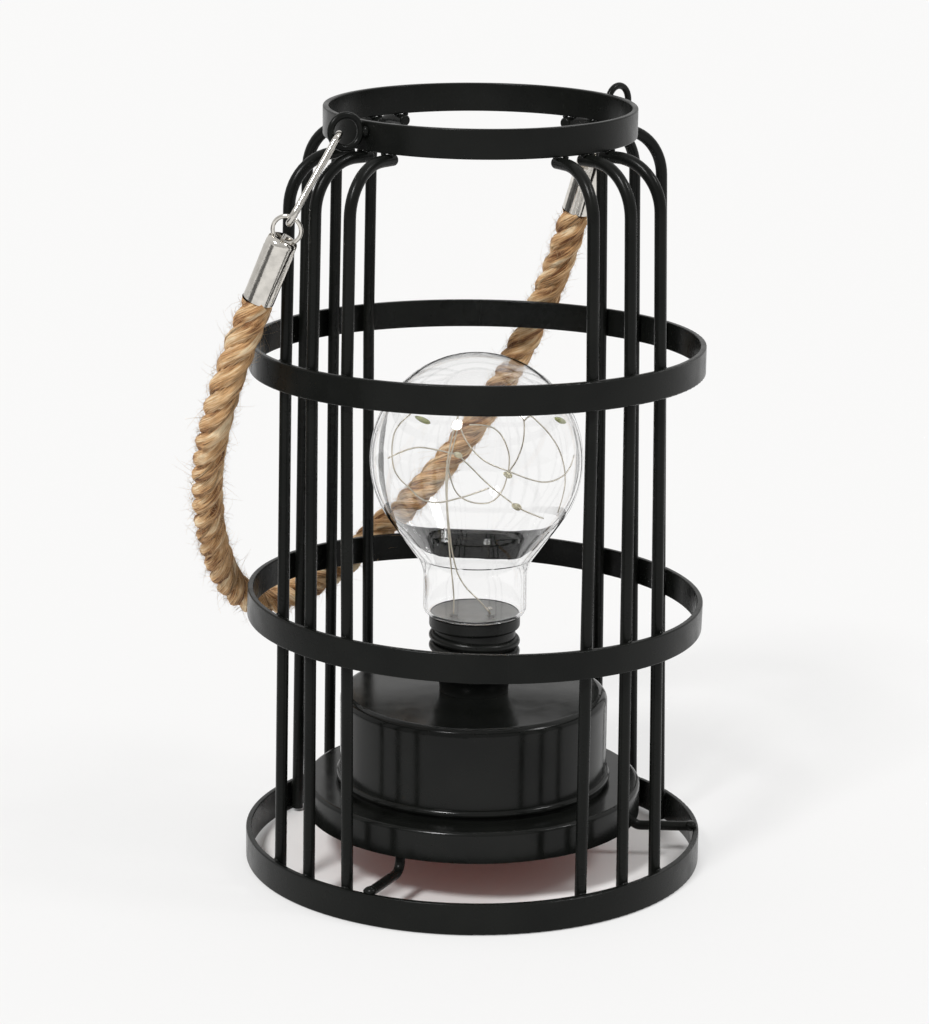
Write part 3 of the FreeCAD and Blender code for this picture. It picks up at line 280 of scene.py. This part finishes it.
def smooth_line(points):
    """Points along the smooth curve that has the given control points."""
    curve = bpy.data.curves.new("route", "CURVE")
    curve.dimensions = "3D"
    curve.resolution_u = CURVE_STEPS
    spline = curve.splines.new("NURBS")
    spline.points.add(len(points) - 1)
    for held, point in zip(spline.points, points):
        held.co = (*point, 1)
    spline.order_u = 3
    spline.use_endpoint_u = True
    carrier = bpy.data.objects.new("route", curve)
    bpy.context.scene.collection.objects.link(carrier)
    bpy.context.view_layer.update()
    evaluated = carrier.evaluated_get(bpy.context.evaluated_depsgraph_get())
    mesh = bpy.data.meshes.new_from_object(evaluated)
    line = np.array([v.co for v in mesh.vertices], float)
    bpy.data.objects.remove(carrier)
    bpy.data.meshes.remove(mesh)
    bpy.data.curves.remove(curve)
    return line


def even_line(line, step):
    """The same line with its points a fixed step apart, and how far along each one is."""
    lengths = np.linalg.norm(np.diff(line, axis=0), axis=1)
    reached = np.concatenate([[0], np.cumsum(lengths)])
    count = max(2, int(round(reached[-1] / step)) + 1)
    wanted = np.linspace(0, reached[-1], count)
    return np.stack([np.interp(wanted, reached, line[:, k]) for k in range(3)], 1), wanted


def square_to(line):
    """Two directions square to the line at each point, carried along without twist."""
    tangents = np.gradient(line, axis=0)
    tangents /= np.linalg.norm(tangents, axis=1)[:, None]
    side = np.cross(tangents[0], (0, 0, 1.0))
    side /= np.linalg.norm(side)
    first = []
    for tangent in tangents:
        side = side - tangent * (side @ tangent)
        side /= np.linalg.norm(side)
        first.append(side)
    first = np.array(first)
    return first, np.cross(tangents, first)


def ring_faces(rings, around, start=0):
    """Faces of an open tube of rings of points, numbered from start."""
    faces = []
    for i in range(rings - 1):
        for j in range(around):
            a = start + i * around + j
            b = start + i * around + (j + 1) % around
            faces.append((a, b, b + around, a + around))
    return faces


def closed_faces(rings, around, start=0):
    """The same tube with both ends closed."""
    last = start + (rings - 1) * around
    return ring_faces(rings, around, start) + [
        tuple(start + j for j in reversed(range(around))),
        tuple(last + j for j in range(around))]


def tube_points(line, radius, around):
    """Rings of points round a line; radius is a number or one for each ring."""
    first, second = square_to(line)
    radius = np.broadcast_to(np.asarray(radius, float), (len(line),))[:, None, None]
    angles = np.linspace(0, FULL_TURN, around, endpoint=False)
    across = np.cos(angles)[None, :, None] * radius
    over = np.sin(angles)[None, :, None] * radius
    points = line[:, None, :] + first[:, None, :] * across + second[:, None, :] * over
    return points.reshape(-1, 3)


# ---- rope: its route's points are those of the solid model's rope ----
ROPE_RADIUS = 0.0055
ROPE_STEP = 0.0007
ROPE_ROUTE = (
    (-0.07159, -0.04315, 0.20544),
    (-0.07895, -0.03891, 0.18734),
    (-0.0861, -0.0332, 0.1654),
    (-0.0909, -0.0186, 0.1452),
    (-0.0925, -0.0036, 0.1254),
    (-0.0915, 0.0114, 0.1070),
    (-0.0882, 0.0258, 0.0914),
    (-0.0812, 0.0386, 0.0802),
    (-0.0704, 0.0506, 0.0772),
    (-0.0584, 0.0619, 0.0817),
    (-0.0426, 0.0736, 0.0904),
    (-0.0274, 0.0833, 0.1040),
    (-0.0119, 0.0885, 0.1198),
    (0.0015, 0.0904, 0.1376),
    (0.0126, 0.0896, 0.1570),
    (0.0220, 0.0866, 0.1768),
    (0.03057, 0.07722, 0.20034),
    (0.03533, 0.07122, 0.21882),
)
LAY_LENGTH = 0.0255            # one full turn of a strand round the rope
STRANDS = 3
STRAND_RADIUS = 0.0029
STRAND_OFFSET = 0.0025
STRAND_SIDES = 22
WANDER_RATE = 40
WANDER_ROW = 9.0
WANDER_SHARE = 0.05
YARNS = 6
YARN_TWIST = 0.006
YARN_SHARE = 0.05
LUMP_RATE = 330
LUMP_SPIN = 1.6
LUMP_ROW = 5
LUMP_SHARE = 0.13
MAP_TWIST = 0.011
MAP_SHIFT = 0.7

rope_line, rope_along = even_line(smooth_line(ROPE_ROUTE), ROPE_STEP)
rope_side, rope_over = square_to(rope_line)


def rope_strands():
    """Three strands twisted round each other, each with the ridges of its own yarns."""
    points, faces, uvs = [], [], []
    for strand in range(STRANDS):
        turn = FULL_TURN * (rope_along / LAY_LENGTH + strand / STRANDS)
        wander = np.array([noise.noise((a * WANDER_RATE, strand * WANDER_ROW, 0))
                           for a in rope_along])
        offset = STRAND_OFFSET * (1 + WANDER_SHARE * wander)
        middle = (rope_line + rope_side * (np.cos(turn) * offset)[:, None]
                  + rope_over * (np.sin(turn) * offset)[:, None])
        first, second = square_to(middle)
        start = len(points)
        for i, centre in enumerate(middle):
            along = rope_along[i]
            for j in range(STRAND_SIDES):
                angle = FULL_TURN * j / STRAND_SIDES
                yarn = math.cos(YARNS * (angle + along / YARN_TWIST))
                spot = (along * LUMP_RATE, angle * LUMP_SPIN + strand * LUMP_ROW, 2.0)
                swell = 1 + YARN_SHARE * yarn + LUMP_SHARE * noise.noise(spot)
                radius = STRAND_RADIUS * swell
                points.append(centre + first[i] * (radius * math.cos(angle))
                              + second[i] * (radius * math.sin(angle)))
                uvs.append((along + strand * MAP_SHIFT,
                            STRAND_RADIUS * (angle - along / MAP_TWIST)))
        faces += ring_faces(len(middle), STRAND_SIDES, start)
    return add_mesh("rope_strands", points, faces, "handle", jute, uvs=uvs)


rope = rope_strands()
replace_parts(rope, "rope_handle")

FIBRE_STEPS = 5
FIBRE_SIDES = 3
FIBRE_END_MARGIN = 4           # points of the rope's line left free at each end
FIBRE_AIM_SPAN = 3
FIBRE_SHORTEST_SHARE = 0.25
FIBRE_LENGTH_BIAS = 1.6        # above 1, short fibres are more common than long ones
FIBRE_LIFT = (0.15, 0.75)
FIBRE_SWAY = 0.8
FIBRE_ROOT = (0.8, 0.97)       # share of the rope's radius at which a fibre starts
FIBRE_TAPER = 0.75
FIBRE_UPWARD = 0.6
FIBRE_BEND = 0.3
FIBRE_PULL = 0.18
FIBRE_MAP_STEP = (0.001, 0.0004)


def rope_fuzz(count, name, longest, thickness):
    """Loose fibres that stand off the rope, each a thin bent prism."""
    points, faces, uvs = [], [], []
    for _ in range(count):
        i = rng.randrange(FIBRE_END_MARGIN, len(rope_line) - FIBRE_END_MARGIN)
        angle = rng.uniform(0, FULL_TURN)
        out = Vector(rope_side[i] * math.cos(angle) + rope_over[i] * math.sin(angle))
        rope_heading = Vector(rope_line[i + FIBRE_AIM_SPAN] - rope_line[i - FIBRE_AIM_SPAN])
        ahead = rope_heading.normalized() * rng.choice((-1, 1))
        across = out.cross(ahead)
        reach = longest * rng.uniform(FIBRE_SHORTEST_SHARE, 1.0) ** FIBRE_LENGTH_BIAS
        lift = rng.uniform(*FIBRE_LIFT)
        sway = rng.uniform(-FIBRE_SWAY, FIBRE_SWAY)
        here = Vector(rope_line[i]) + out * (ROPE_RADIUS * rng.uniform(*FIBRE_ROOT))
        heading = (ahead * (1 - lift) + out * lift + across * sway).normalized()
        start = len(points)
        for k in range(FIBRE_STEPS):
            width = thickness * (1 - FIBRE_TAPER * k / (FIBRE_STEPS - 1))
            square = heading.cross(out).normalized()
            over = square.cross(heading).normalized()
            for m in range(FIBRE_SIDES):
                a = FULL_TURN * m / FIBRE_SIDES
                points.append(here + square * (width * math.cos(a)) + over * (width * math.sin(a)))
                uvs.append((rope_along[i] + k * FIBRE_MAP_STEP[0], m * FIBRE_MAP_STEP[1]))
            here = here + heading * (reach / FIBRE_STEPS)
            bend = Vector((rng.uniform(-1, 1), rng.uniform(-1, 1), rng.uniform(-1, FIBRE_UPWARD)))
            heading = (heading + bend * FIBRE_BEND + ahead * FIBRE_PULL).normalized()
        faces += ring_faces(FIBRE_STEPS, FIBRE_SIDES, start)
    return add_mesh(name, points, faces, "handle", stray_jute, uvs=uvs)


rope_fuzz(6500, "rope_short_fibres", longest=0.005, thickness=0.00006)
rope_fuzz(1100, "rope_long_fibres", longest=0.012, thickness=0.00005)

# ---- the solid model's pieces: their finishes ----
FINISHES = {
    "base_shell": base_paint,
    "neck_collar": neck_plastic,
    "neck_nut": inner_metal,
    "bulb_glass": bulb_finish(),
    "led_plug": grey_plug,
    "bottom_cover": red_cover,
    "battery_door": red_cover,
    "support_posts": black_inner,
    "cover_screws": inner_metal,
    "battery_tray": black_inner,
    "battery_springs": inner_metal,
    "contact_plates": inner_metal,
    "switch_body": black_inner,
    "switch_knob": pale_knob,
    "circuit_board": board_green,
    "board_parts": black_inner,
    "rope_handle": jute,
}
HARDWARE_NAMES = ("snap_hook", "hook_gate", "gate_pin", "jump_ring", "ferrule")
battery_sleeve = battery_skin()
for name, node in nodes.items():
    if name in FINISHES:
        finish = FINISHES[name]
    elif name.startswith(HARDWARE_NAMES):
        finish = plated
    elif name.startswith("battery_") and name[-1].isdigit():
        finish = battery_sleeve
    elif name.endswith("_leads"):
        finish = lead_cover
    elif name.startswith("led_"):
        finish = wire_metal
    else:
        finish = cage_paint
    node.data.materials.clear()
    node.data.materials.append(finish)

# ---- light string in the bulb: runs of thin wire and resin drops, in millimetres ----
LIGHT_WIRES = (
    # up from the left terminal and over the top
    ((-7.3, -7.0, 89.6), (-7.1, -5.5, 93.7), (-7.9, -4.0, 102.4), (-9.1, -5.8, 113.2),
     (-9.9, -8.1, 125.5), (-10.5, -7.8, 137.1), (-9.7, -9.6, 146.3), (-7.1, -12.8, 159.2),
     (-4.0, -14.0, 166.0), (2.0, -12.0, 170.0), (8.0, -7.0, 168.0), (12.0, -1.0, 163.0),
     (16.2, 2.7, 155.7)),
    # up from the right terminal and over to the left
    ((5.4, -7.0, 89.6), (3.0, -7.0, 93.0), (-4.0, -6.0, 99.0), (-7.6, -5.2, 108.0),
     (-9.2, -6.2, 120.0), (-10.0, -6.4, 130.0), (-9.8, -6.3, 138.0), (-9.4, -6.5, 143.1),
     (-7.4, -9.5, 151.5), (-6.1, -11.6, 158.6), (-8.0, -9.0, 166.0), (-14.0, -6.0, 168.0),
     (-20.0, -4.5, 164.0), (-22.9, -3.8, 158.8)),
    # middle loop
    ((-10.1, -9.6, 144.2), (-8.7, -3.1, 134.9), (-5.7, 4.4, 127.8), (0.1, 9.8, 124.3),
     (6.0, 13.5, 123.8), (9.8, 15.7, 128.2), (11.1, 15.3, 134.3), (14.4, 12.1, 139.7),
     (16.7, 5.7, 149.0), (16.2, 2.7, 155.7)),
    # wide front loop to the right
    ((-6.4, -14.3, 159.2), (-4.7, -18.6, 155.0), (-1.3, -21.3, 150.5), (3.1, -22.6, 146.7),
     (10.5, -20.7, 143.6), (17.8, -17.0, 139.8), (23.7, -11.6, 137.3), (29.0, -6.5, 137.9),
     (32.4, -2.0, 140.4), (33.6, 0.0, 144.5)),
    # back run, low to the right
    ((-6.4, 9.9, 141.8), (-2.2, 13.2, 137.1), (4.6, 15.2, 129.5), (14.3, 11.5, 123.0),
     (18.0, 8.5, 121.7), (23.7, 3.6, 120.8)),
    # right side, down the glass
    ((16.2, 2.7, 155.7), (18.0, 1.0, 158.5), (20.3, 2.3, 156.2), (25.0, 6.3, 150.8),
     (29.2, 6.6, 144.4), (31.0, 4.4, 137.1), (30.6, 0.9, 130.8), (28.4, 0.0, 123.9)),
    # left side, down the glass and along the bottom
    ((-22.9, -3.8, 158.8), (-27.4, -4.4, 155.4), (-29.1, -4.8, 148.1), (-28.6, -4.4, 140.3),
     (-26.2, -4.0, 136.2), (-22.1, -9.5, 134.0), (-19.1, -12.6, 131.5), (-13.6, -15.5, 130.7),
     (-6.8, -18.9, 133.2), (-0.1, -19.7, 135.6), (4.3, -19.7, 137.4)),
    # left tail to the middle
    ((-30.5, 1.4, 142.4), (-23.7, 8.3, 144.5), (-16.9, 13.1, 143.8), (-6.4, 9.9, 141.8)),
    # back arc
    ((-2.5, 9.6, 152.6), (3.2, 16.2, 151.5), (7.8, 17.7, 148.7), (10.3, 17.6, 144.5),
     (12.1, 15.5, 138.9), (11.1, 15.1, 133.6)),
)
LIGHT_WIRE_RADIUS = 0.00027
LIGHT_WIRE_SIDES = 6
LIGHT_WIRE_STEP = 0.0008
LIGHT_WIRE_MAP_STEP = 0.002
LIGHT_WIRE_MAP_WIDTH = 0.004
LIGHT_DROPS = (                # centre, half length, radius, finish
    ((-18.4, -8.3, 158.1), 2.6, 0.95, green_resin),
    ((28.4, -1.7, 157.0), 2.0, 0.9, green_resin),
    ((11.1, 15.1, 133.6), 1.6, 1.1, cream_resin),
    ((14.3, 11.5, 123.0), 1.7, 1.2, cream_resin),
    ((-6.4, 9.9, 141.8), 1.5, 1.1, cream_resin),
)
DROP_RINGS = 13
DROP_SIDES = 14
DROP_DIRECTION = Vector((1, 0.25, -0.5))
DROP_TIP = 0.02                # keeps the drop's ends from closing to a point
DROP_TAPER = 0.12


def light_wires():
    points, faces, uvs = [], [], []
    for run in LIGHT_WIRES:
        route = smooth_line([Vector(p) * MM for p in run])
        line, _ = even_line(route, LIGHT_WIRE_STEP)
        start = len(points)
        points += list(tube_points(line, LIGHT_WIRE_RADIUS, LIGHT_WIRE_SIDES))
        faces += closed_faces(len(line), LIGHT_WIRE_SIDES, start)
        uvs += [(i * LIGHT_WIRE_MAP_STEP, j / LIGHT_WIRE_SIDES * LIGHT_WIRE_MAP_WIDTH)
                for i in range(len(line)) for j in range(LIGHT_WIRE_SIDES)]
    return add_mesh("light_string_wire", points, faces, "lamp", wire_metal,
                    uvs=uvs)


def light_drop(number, centre, half, radius, finish):
    """A resin drop, a little thicker at one end."""
    heights = np.linspace(-1, 1, DROP_RINGS)
    line = np.array([(Vector(centre) + DROP_DIRECTION * (h * half)) * MM for h in heights])
    bulge = np.sqrt(np.clip(1 - heights ** 2, DROP_TIP, 1)) * (1 + DROP_TAPER * heights)
    return add_mesh("light_drop_%d" % number, tube_points(line, radius * MM * bulge, DROP_SIDES),
                    closed_faces(DROP_RINGS, DROP_SIDES), "lamp", finish)


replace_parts(light_wires(), "led_wire")
light_drops = [light_drop(number, *drop) for number, drop in enumerate(LIGHT_DROPS, start=1)]
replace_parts(light_drops[0], "led_beads")

# ---- weld beads: small lumps of painted weld where the wires meet the bands ----
GROUP_FOOT_AZIMUTHS = (-46.8, 41.7, 128.9, 224.6)
GROUP_TOP_AZIMUTHS = (-47.1, 42.0, 130.7, 224.3)
FOOT_SPACING = 13.3
TOP_SPACING = 12.1
TOP_RING_MIDDLE_R = 0.0517
TOP_RING_UNDERSIDE = 0.2545
TOP_RING_SLOPE = math.tan(math.radians(1.9))
LOWER_HOOP_SLOPE = math.tan(math.radians(1.38))
LOWER_HOOP_RADIUS = 0.079
LOWER_HOOP_SHARE = 0.53        # how far up the straight of an upright the lower hoop sits
LOWER_WELD = (0.0763, 0.0963)  # radius and height of the welds on each band
UPPER_WELD = (0.0752, 0.1844)
FOOT_WELD = (0.0768, 0.0098)
EYE_WELD_R = 0.0531
EYE_WELDS = ((-45.5, 0.25977), (124.9, 0.262))
EYE_WELD_SPREAD = 1.3
BRACKET_WELD = (0.0772, 0.0112)
BRACKET_AZIMUTHS = (-26.0, 88.0, 207.5)
TOP_WELD_SPREAD = 2.1
TOP_WELD_DROP = 0.0003
HOOP_WELD_DROP = 0.0006
LUMP_RINGS = 7
LUMP_SIDES = 10
LUMP_UNEVEN = 0.16
LUMP_DETAIL = 1.7
LUMP_SEED_STEP = (3.1, 1.7)


def polar(radius, azimuth, z):
    a = math.radians(azimuth)
    return Vector((radius * math.sin(a), -radius * math.cos(a), z))


def add_lump(points, faces, centre, size, squash, seed):
    """A rounded, slightly uneven blob."""
    start = len(points)
    shift = Vector((seed * LUMP_SEED_STEP[0], seed * LUMP_SEED_STEP[1], 0))
    for i in range(LUMP_RINGS):
        latitude = math.pi * (i + 0.5) / LUMP_RINGS
        for j in range(LUMP_SIDES):
            longitude = FULL_TURN * j / LUMP_SIDES
            away = Vector((math.sin(latitude) * math.cos(longitude),
                           math.sin(latitude) * math.sin(longitude), math.cos(latitude)))
            swell = 1 + LUMP_UNEVEN * noise.noise(away * LUMP_DETAIL + shift)
            flat = Vector((away.x * squash[0], away.y * squash[1], away.z * squash[2]))
            points.append(centre + flat * size * swell)
    faces += closed_faces(LUMP_RINGS, LUMP_SIDES, start)


def upright_welds(points, faces, foot, top, seed):
    """The lumps where one upright meets the four bands."""
    under = TOP_RING_UNDERSIDE + polar(TOP_RING_MIDDLE_R, top, 0).y * TOP_RING_SLOPE
    for side in (-1, 1):
        spot = polar(TOP_RING_MIDDLE_R, top + side * TOP_WELD_SPREAD, under - TOP_WELD_DROP)
        add_lump(points, faces, spot, 0.0008, (1.2, 1.2, 0.8), seed + side * 0.3)
    add_lump(points, faces, polar(FOOT_WELD[0], foot, FOOT_WELD[1]), 0.0016, (1.0, 1.0, 0.9),
             seed + 20)
    angle = foot + (top - foot) * LOWER_HOOP_SHARE
    tilt = -math.sin(math.radians(angle)) * LOWER_HOOP_RADIUS * LOWER_HOOP_SLOPE
    lower = polar(LOWER_WELD[0], angle, LOWER_WELD[1] + tilt - HOOP_WELD_DROP)
    upper = polar(UPPER_WELD[0], top, UPPER_WELD[1] - HOOP_WELD_DROP)
    for spot in (lower, upper):
        add_lump(points, faces, spot, 0.0011, (1, 1, 0.9), seed + 40)


def weld_beads():
    points, faces = [], []
    seed = 0
    for foot_middle, top_middle in zip(GROUP_FOOT_AZIMUTHS, GROUP_TOP_AZIMUTHS):
        for step in (-1, 0, 1):
            seed += 1
            upright_welds(points, faces, foot_middle + step * FOOT_SPACING,
                          top_middle + step * TOP_SPACING, seed)
    for azimuth, z in EYE_WELDS:
        for side in (-1, 1):
            add_lump(points, faces, polar(EYE_WELD_R, azimuth + side * EYE_WELD_SPREAD, z),
                     0.0013, (1, 1, 1.3), z * 100 + side)
    for azimuth in BRACKET_AZIMUTHS:
        add_lump(points, faces, polar(BRACKET_WELD[0], azimuth, BRACKET_WELD[1]), 0.0021,
                 (1.1, 1.1, 0.8), azimuth)
    add_mesh("weld_beads", points, faces, "lamp", cage_paint)


weld_beads()

SOLDER_SPOTS = ((-7.3, -7.0, 1.5), (5.4, -7.0, 1.5), (5.2, 2.5, 1.2))    # x, y, size
SOLDER_Z = 88.75


def solder_spots():
    """Bright blobs of solder on the plug's top."""
    points, faces = [], []
    for seed, (x, y, size) in enumerate(SOLDER_SPOTS, start=60):
        add_lump(points, faces, Vector((x, y, SOLDER_Z)) * MM, size * MM, (1, 1, 0.5), seed)
    add_mesh("solder_spots", points, faces, "lamp", plated)


solder_spots()

SEAM_ROWS = 9
SEAM_HALF_WIDTH = 0.35         # degrees
SEAM_WAVER = 0.05
SEAM_WAVER_RATE = 600
SEAM_PROFILE = ((-1, -0.0003), (-0.4, 0.0001), (0.4, 0.0001), (1, -0.0003))
SEAMS = (                      # radius, bottom, top, azimuth, which way the raised side faces
    (0.079, 0.0868, 0.0961, 7.8, 1),
    (0.07575, 0.1748, 0.1844, 179.3, -1),
)


def band_seams():
    """The raised line where each hoop's strip ends meet: outside in front, inside at the back."""
    points, faces = [], []
    columns = len(SEAM_PROFILE)
    for radius, bottom, top, azimuth, facing in SEAMS:
        start = len(points)
        for k in range(SEAM_ROWS):
            z = bottom + (top - bottom) * k / (SEAM_ROWS - 1)
            waver = SEAM_WAVER * noise.noise((z * SEAM_WAVER_RATE, azimuth, 0))
            for side, out in SEAM_PROFILE:
                points.append(polar(radius + facing * out,
                                    azimuth + side * SEAM_HALF_WIDTH + waver, z))
        for i in range(SEAM_ROWS - 1):
            for j in range(columns - 1):
                a = start + i * columns + j
                faces.append((a, a + 1, a + 1 + columns, a + columns))
    add_mesh("band_seams", points, faces, "lamp", cage_paint)


band_seams()

# ---- stage: pale floor, a dark card and soft studio light ----
FLOOR_HALF_SIZE = 9.0
FLOOR_DROP = 0.0002
FLOOR_GLOW = 0.615
SHADED_RADIUS = 0.075          # the floor inside the cage has no glow of its own
GLOW_RADIUS = 0.082
FLOOR_STOPS = [(0.0, (0.82, 0.81, 0.8)), (1.0, (0.25, 0.248, 0.245))]
CARD_CORNERS = [(-3, -2.2, 0.0005), (-0.45, -0.36, 0.0005), (-0.5, 0.6, 0.0005), (-3, 1.5, 0.0005)]


def add_stage(name, corners, finish):
    mesh = bpy.data.meshes.new(name)
    mesh.from_pydata(corners, [], [(0, 1, 2, 3)])
    mesh.materials.append(finish)
    piece = bpy.data.objects.new(name, mesh)
    bpy.context.scene.collection.objects.link(piece)
    return piece


def floor_finish():
    """Pale, with a glow outside the cage that keeps shadows light there."""
    finish = Finish("floor_finish", Roughness=0.9, Specular_IOR_Level=0.0)
    axes = finish.add("ShaderNodeSeparateXYZ", {"Vector": finish.coordinates})
    flat = finish.add("ShaderNodeCombineXYZ", {"X": axes.outputs["X"], "Y": axes.outputs["Y"]})
    length = finish.add("ShaderNodeVectorMath", {0: flat.outputs["Vector"]}, operation="LENGTH")
    away = length.outputs["Value"]
    finish.colour(finish.spread(away, 0, 1, SHADED_RADIUS, GLOW_RADIUS), FLOOR_STOPS)
    glow = finish.spread(away, 0.0, FLOOR_GLOW, SHADED_RADIUS, GLOW_RADIUS)
    finish.tree.links.new(glow, finish.shader.inputs["Emission Strength"])
    finish.shader.inputs["Emission Color"].default_value = (1, 1, 1, 1)
    return finish.material


size = FLOOR_HALF_SIZE
floor = add_stage("floor", [(-size, -size, 0), (size, -size, 0), (size, size, 0), (-size, size, 0)],
                  floor_finish())
floor.location = (0, 0, -FLOOR_DROP)

# a dark card on the floor at the left, as in a studio: only reflections see it
flag = add_stage("flag", CARD_CORNERS, moulded("flag_finish", (0.05, 0.05, 0.05), 0.8, 0.9))
flag.visible_camera = False
flag.visible_diffuse = False
flag.visible_shadow = False
flag.visible_transmission = False

SKY_BY_HEIGHT = {"From Min": 0.0, "From Max": 0.9, "To Min": 0.62, "To Max": 0.7}
SKY_BY_DEPTH = {"From Min": -0.9, "From Max": 0.5, "To Min": 0.75, "To Max": 1.15}
SKY_COLOUR = (1.0, 0.995, 0.985, 1)


def studio_sky():
    """A soft sky, a little brighter above and behind the lamp."""
    world = bpy.data.worlds.new("studio")
    world.use_nodes = True
    bpy.context.scene.world = world
    tree = world.node_tree
    direction = tree.nodes.new("ShaderNodeTexCoord")
    axes = tree.nodes.new("ShaderNodeSeparateXYZ")
    tree.links.new(direction.outputs["Generated"], axes.inputs["Vector"])
    product = tree.nodes.new("ShaderNodeMath")
    product.operation = "MULTIPLY"
    for index, (axis, values) in enumerate((("Z", SKY_BY_HEIGHT), ("Y", SKY_BY_DEPTH))):
        share = tree.nodes.new("ShaderNodeMapRange")
        for key, value in values.items():
            share.inputs[key].default_value = value
        tree.links.new(axes.outputs[axis], share.inputs["Value"])
        tree.links.new(share.outputs["Result"], product.inputs[index])
    background = tree.nodes["Background"]
    tree.links.new(product.outputs["Value"], background.inputs["Strength"])
    background.inputs["Color"].default_value = SKY_COLOUR


def sun(name, azimuth, elevation, angle, strength):
    lamp = bpy.data.lights.new(name, "SUN")
    lamp.energy = strength
    lamp.angle = math.radians(angle)
    holder = bpy.data.objects.new(name, lamp)
    a, e = math.radians(azimuth), math.radians(elevation)
    towards = Vector((math.sin(a) * math.cos(e), -math.cos(a) * math.cos(e), math.sin(e)))
    holder.rotation_mode = "QUATERNION"
    holder.rotation_quaternion = towards.to_track_quat("Z", "Y")
    bpy.context.scene.collection.objects.link(holder)


studio_sky()
sun("key_light", azimuth=-30, elevation=47, angle=11, strength=2.2)
sun("fill_light", azimuth=78, elevation=48, angle=12, strength=0.7)
bpy.context.scene.view_settings.view_transform = "Standard"
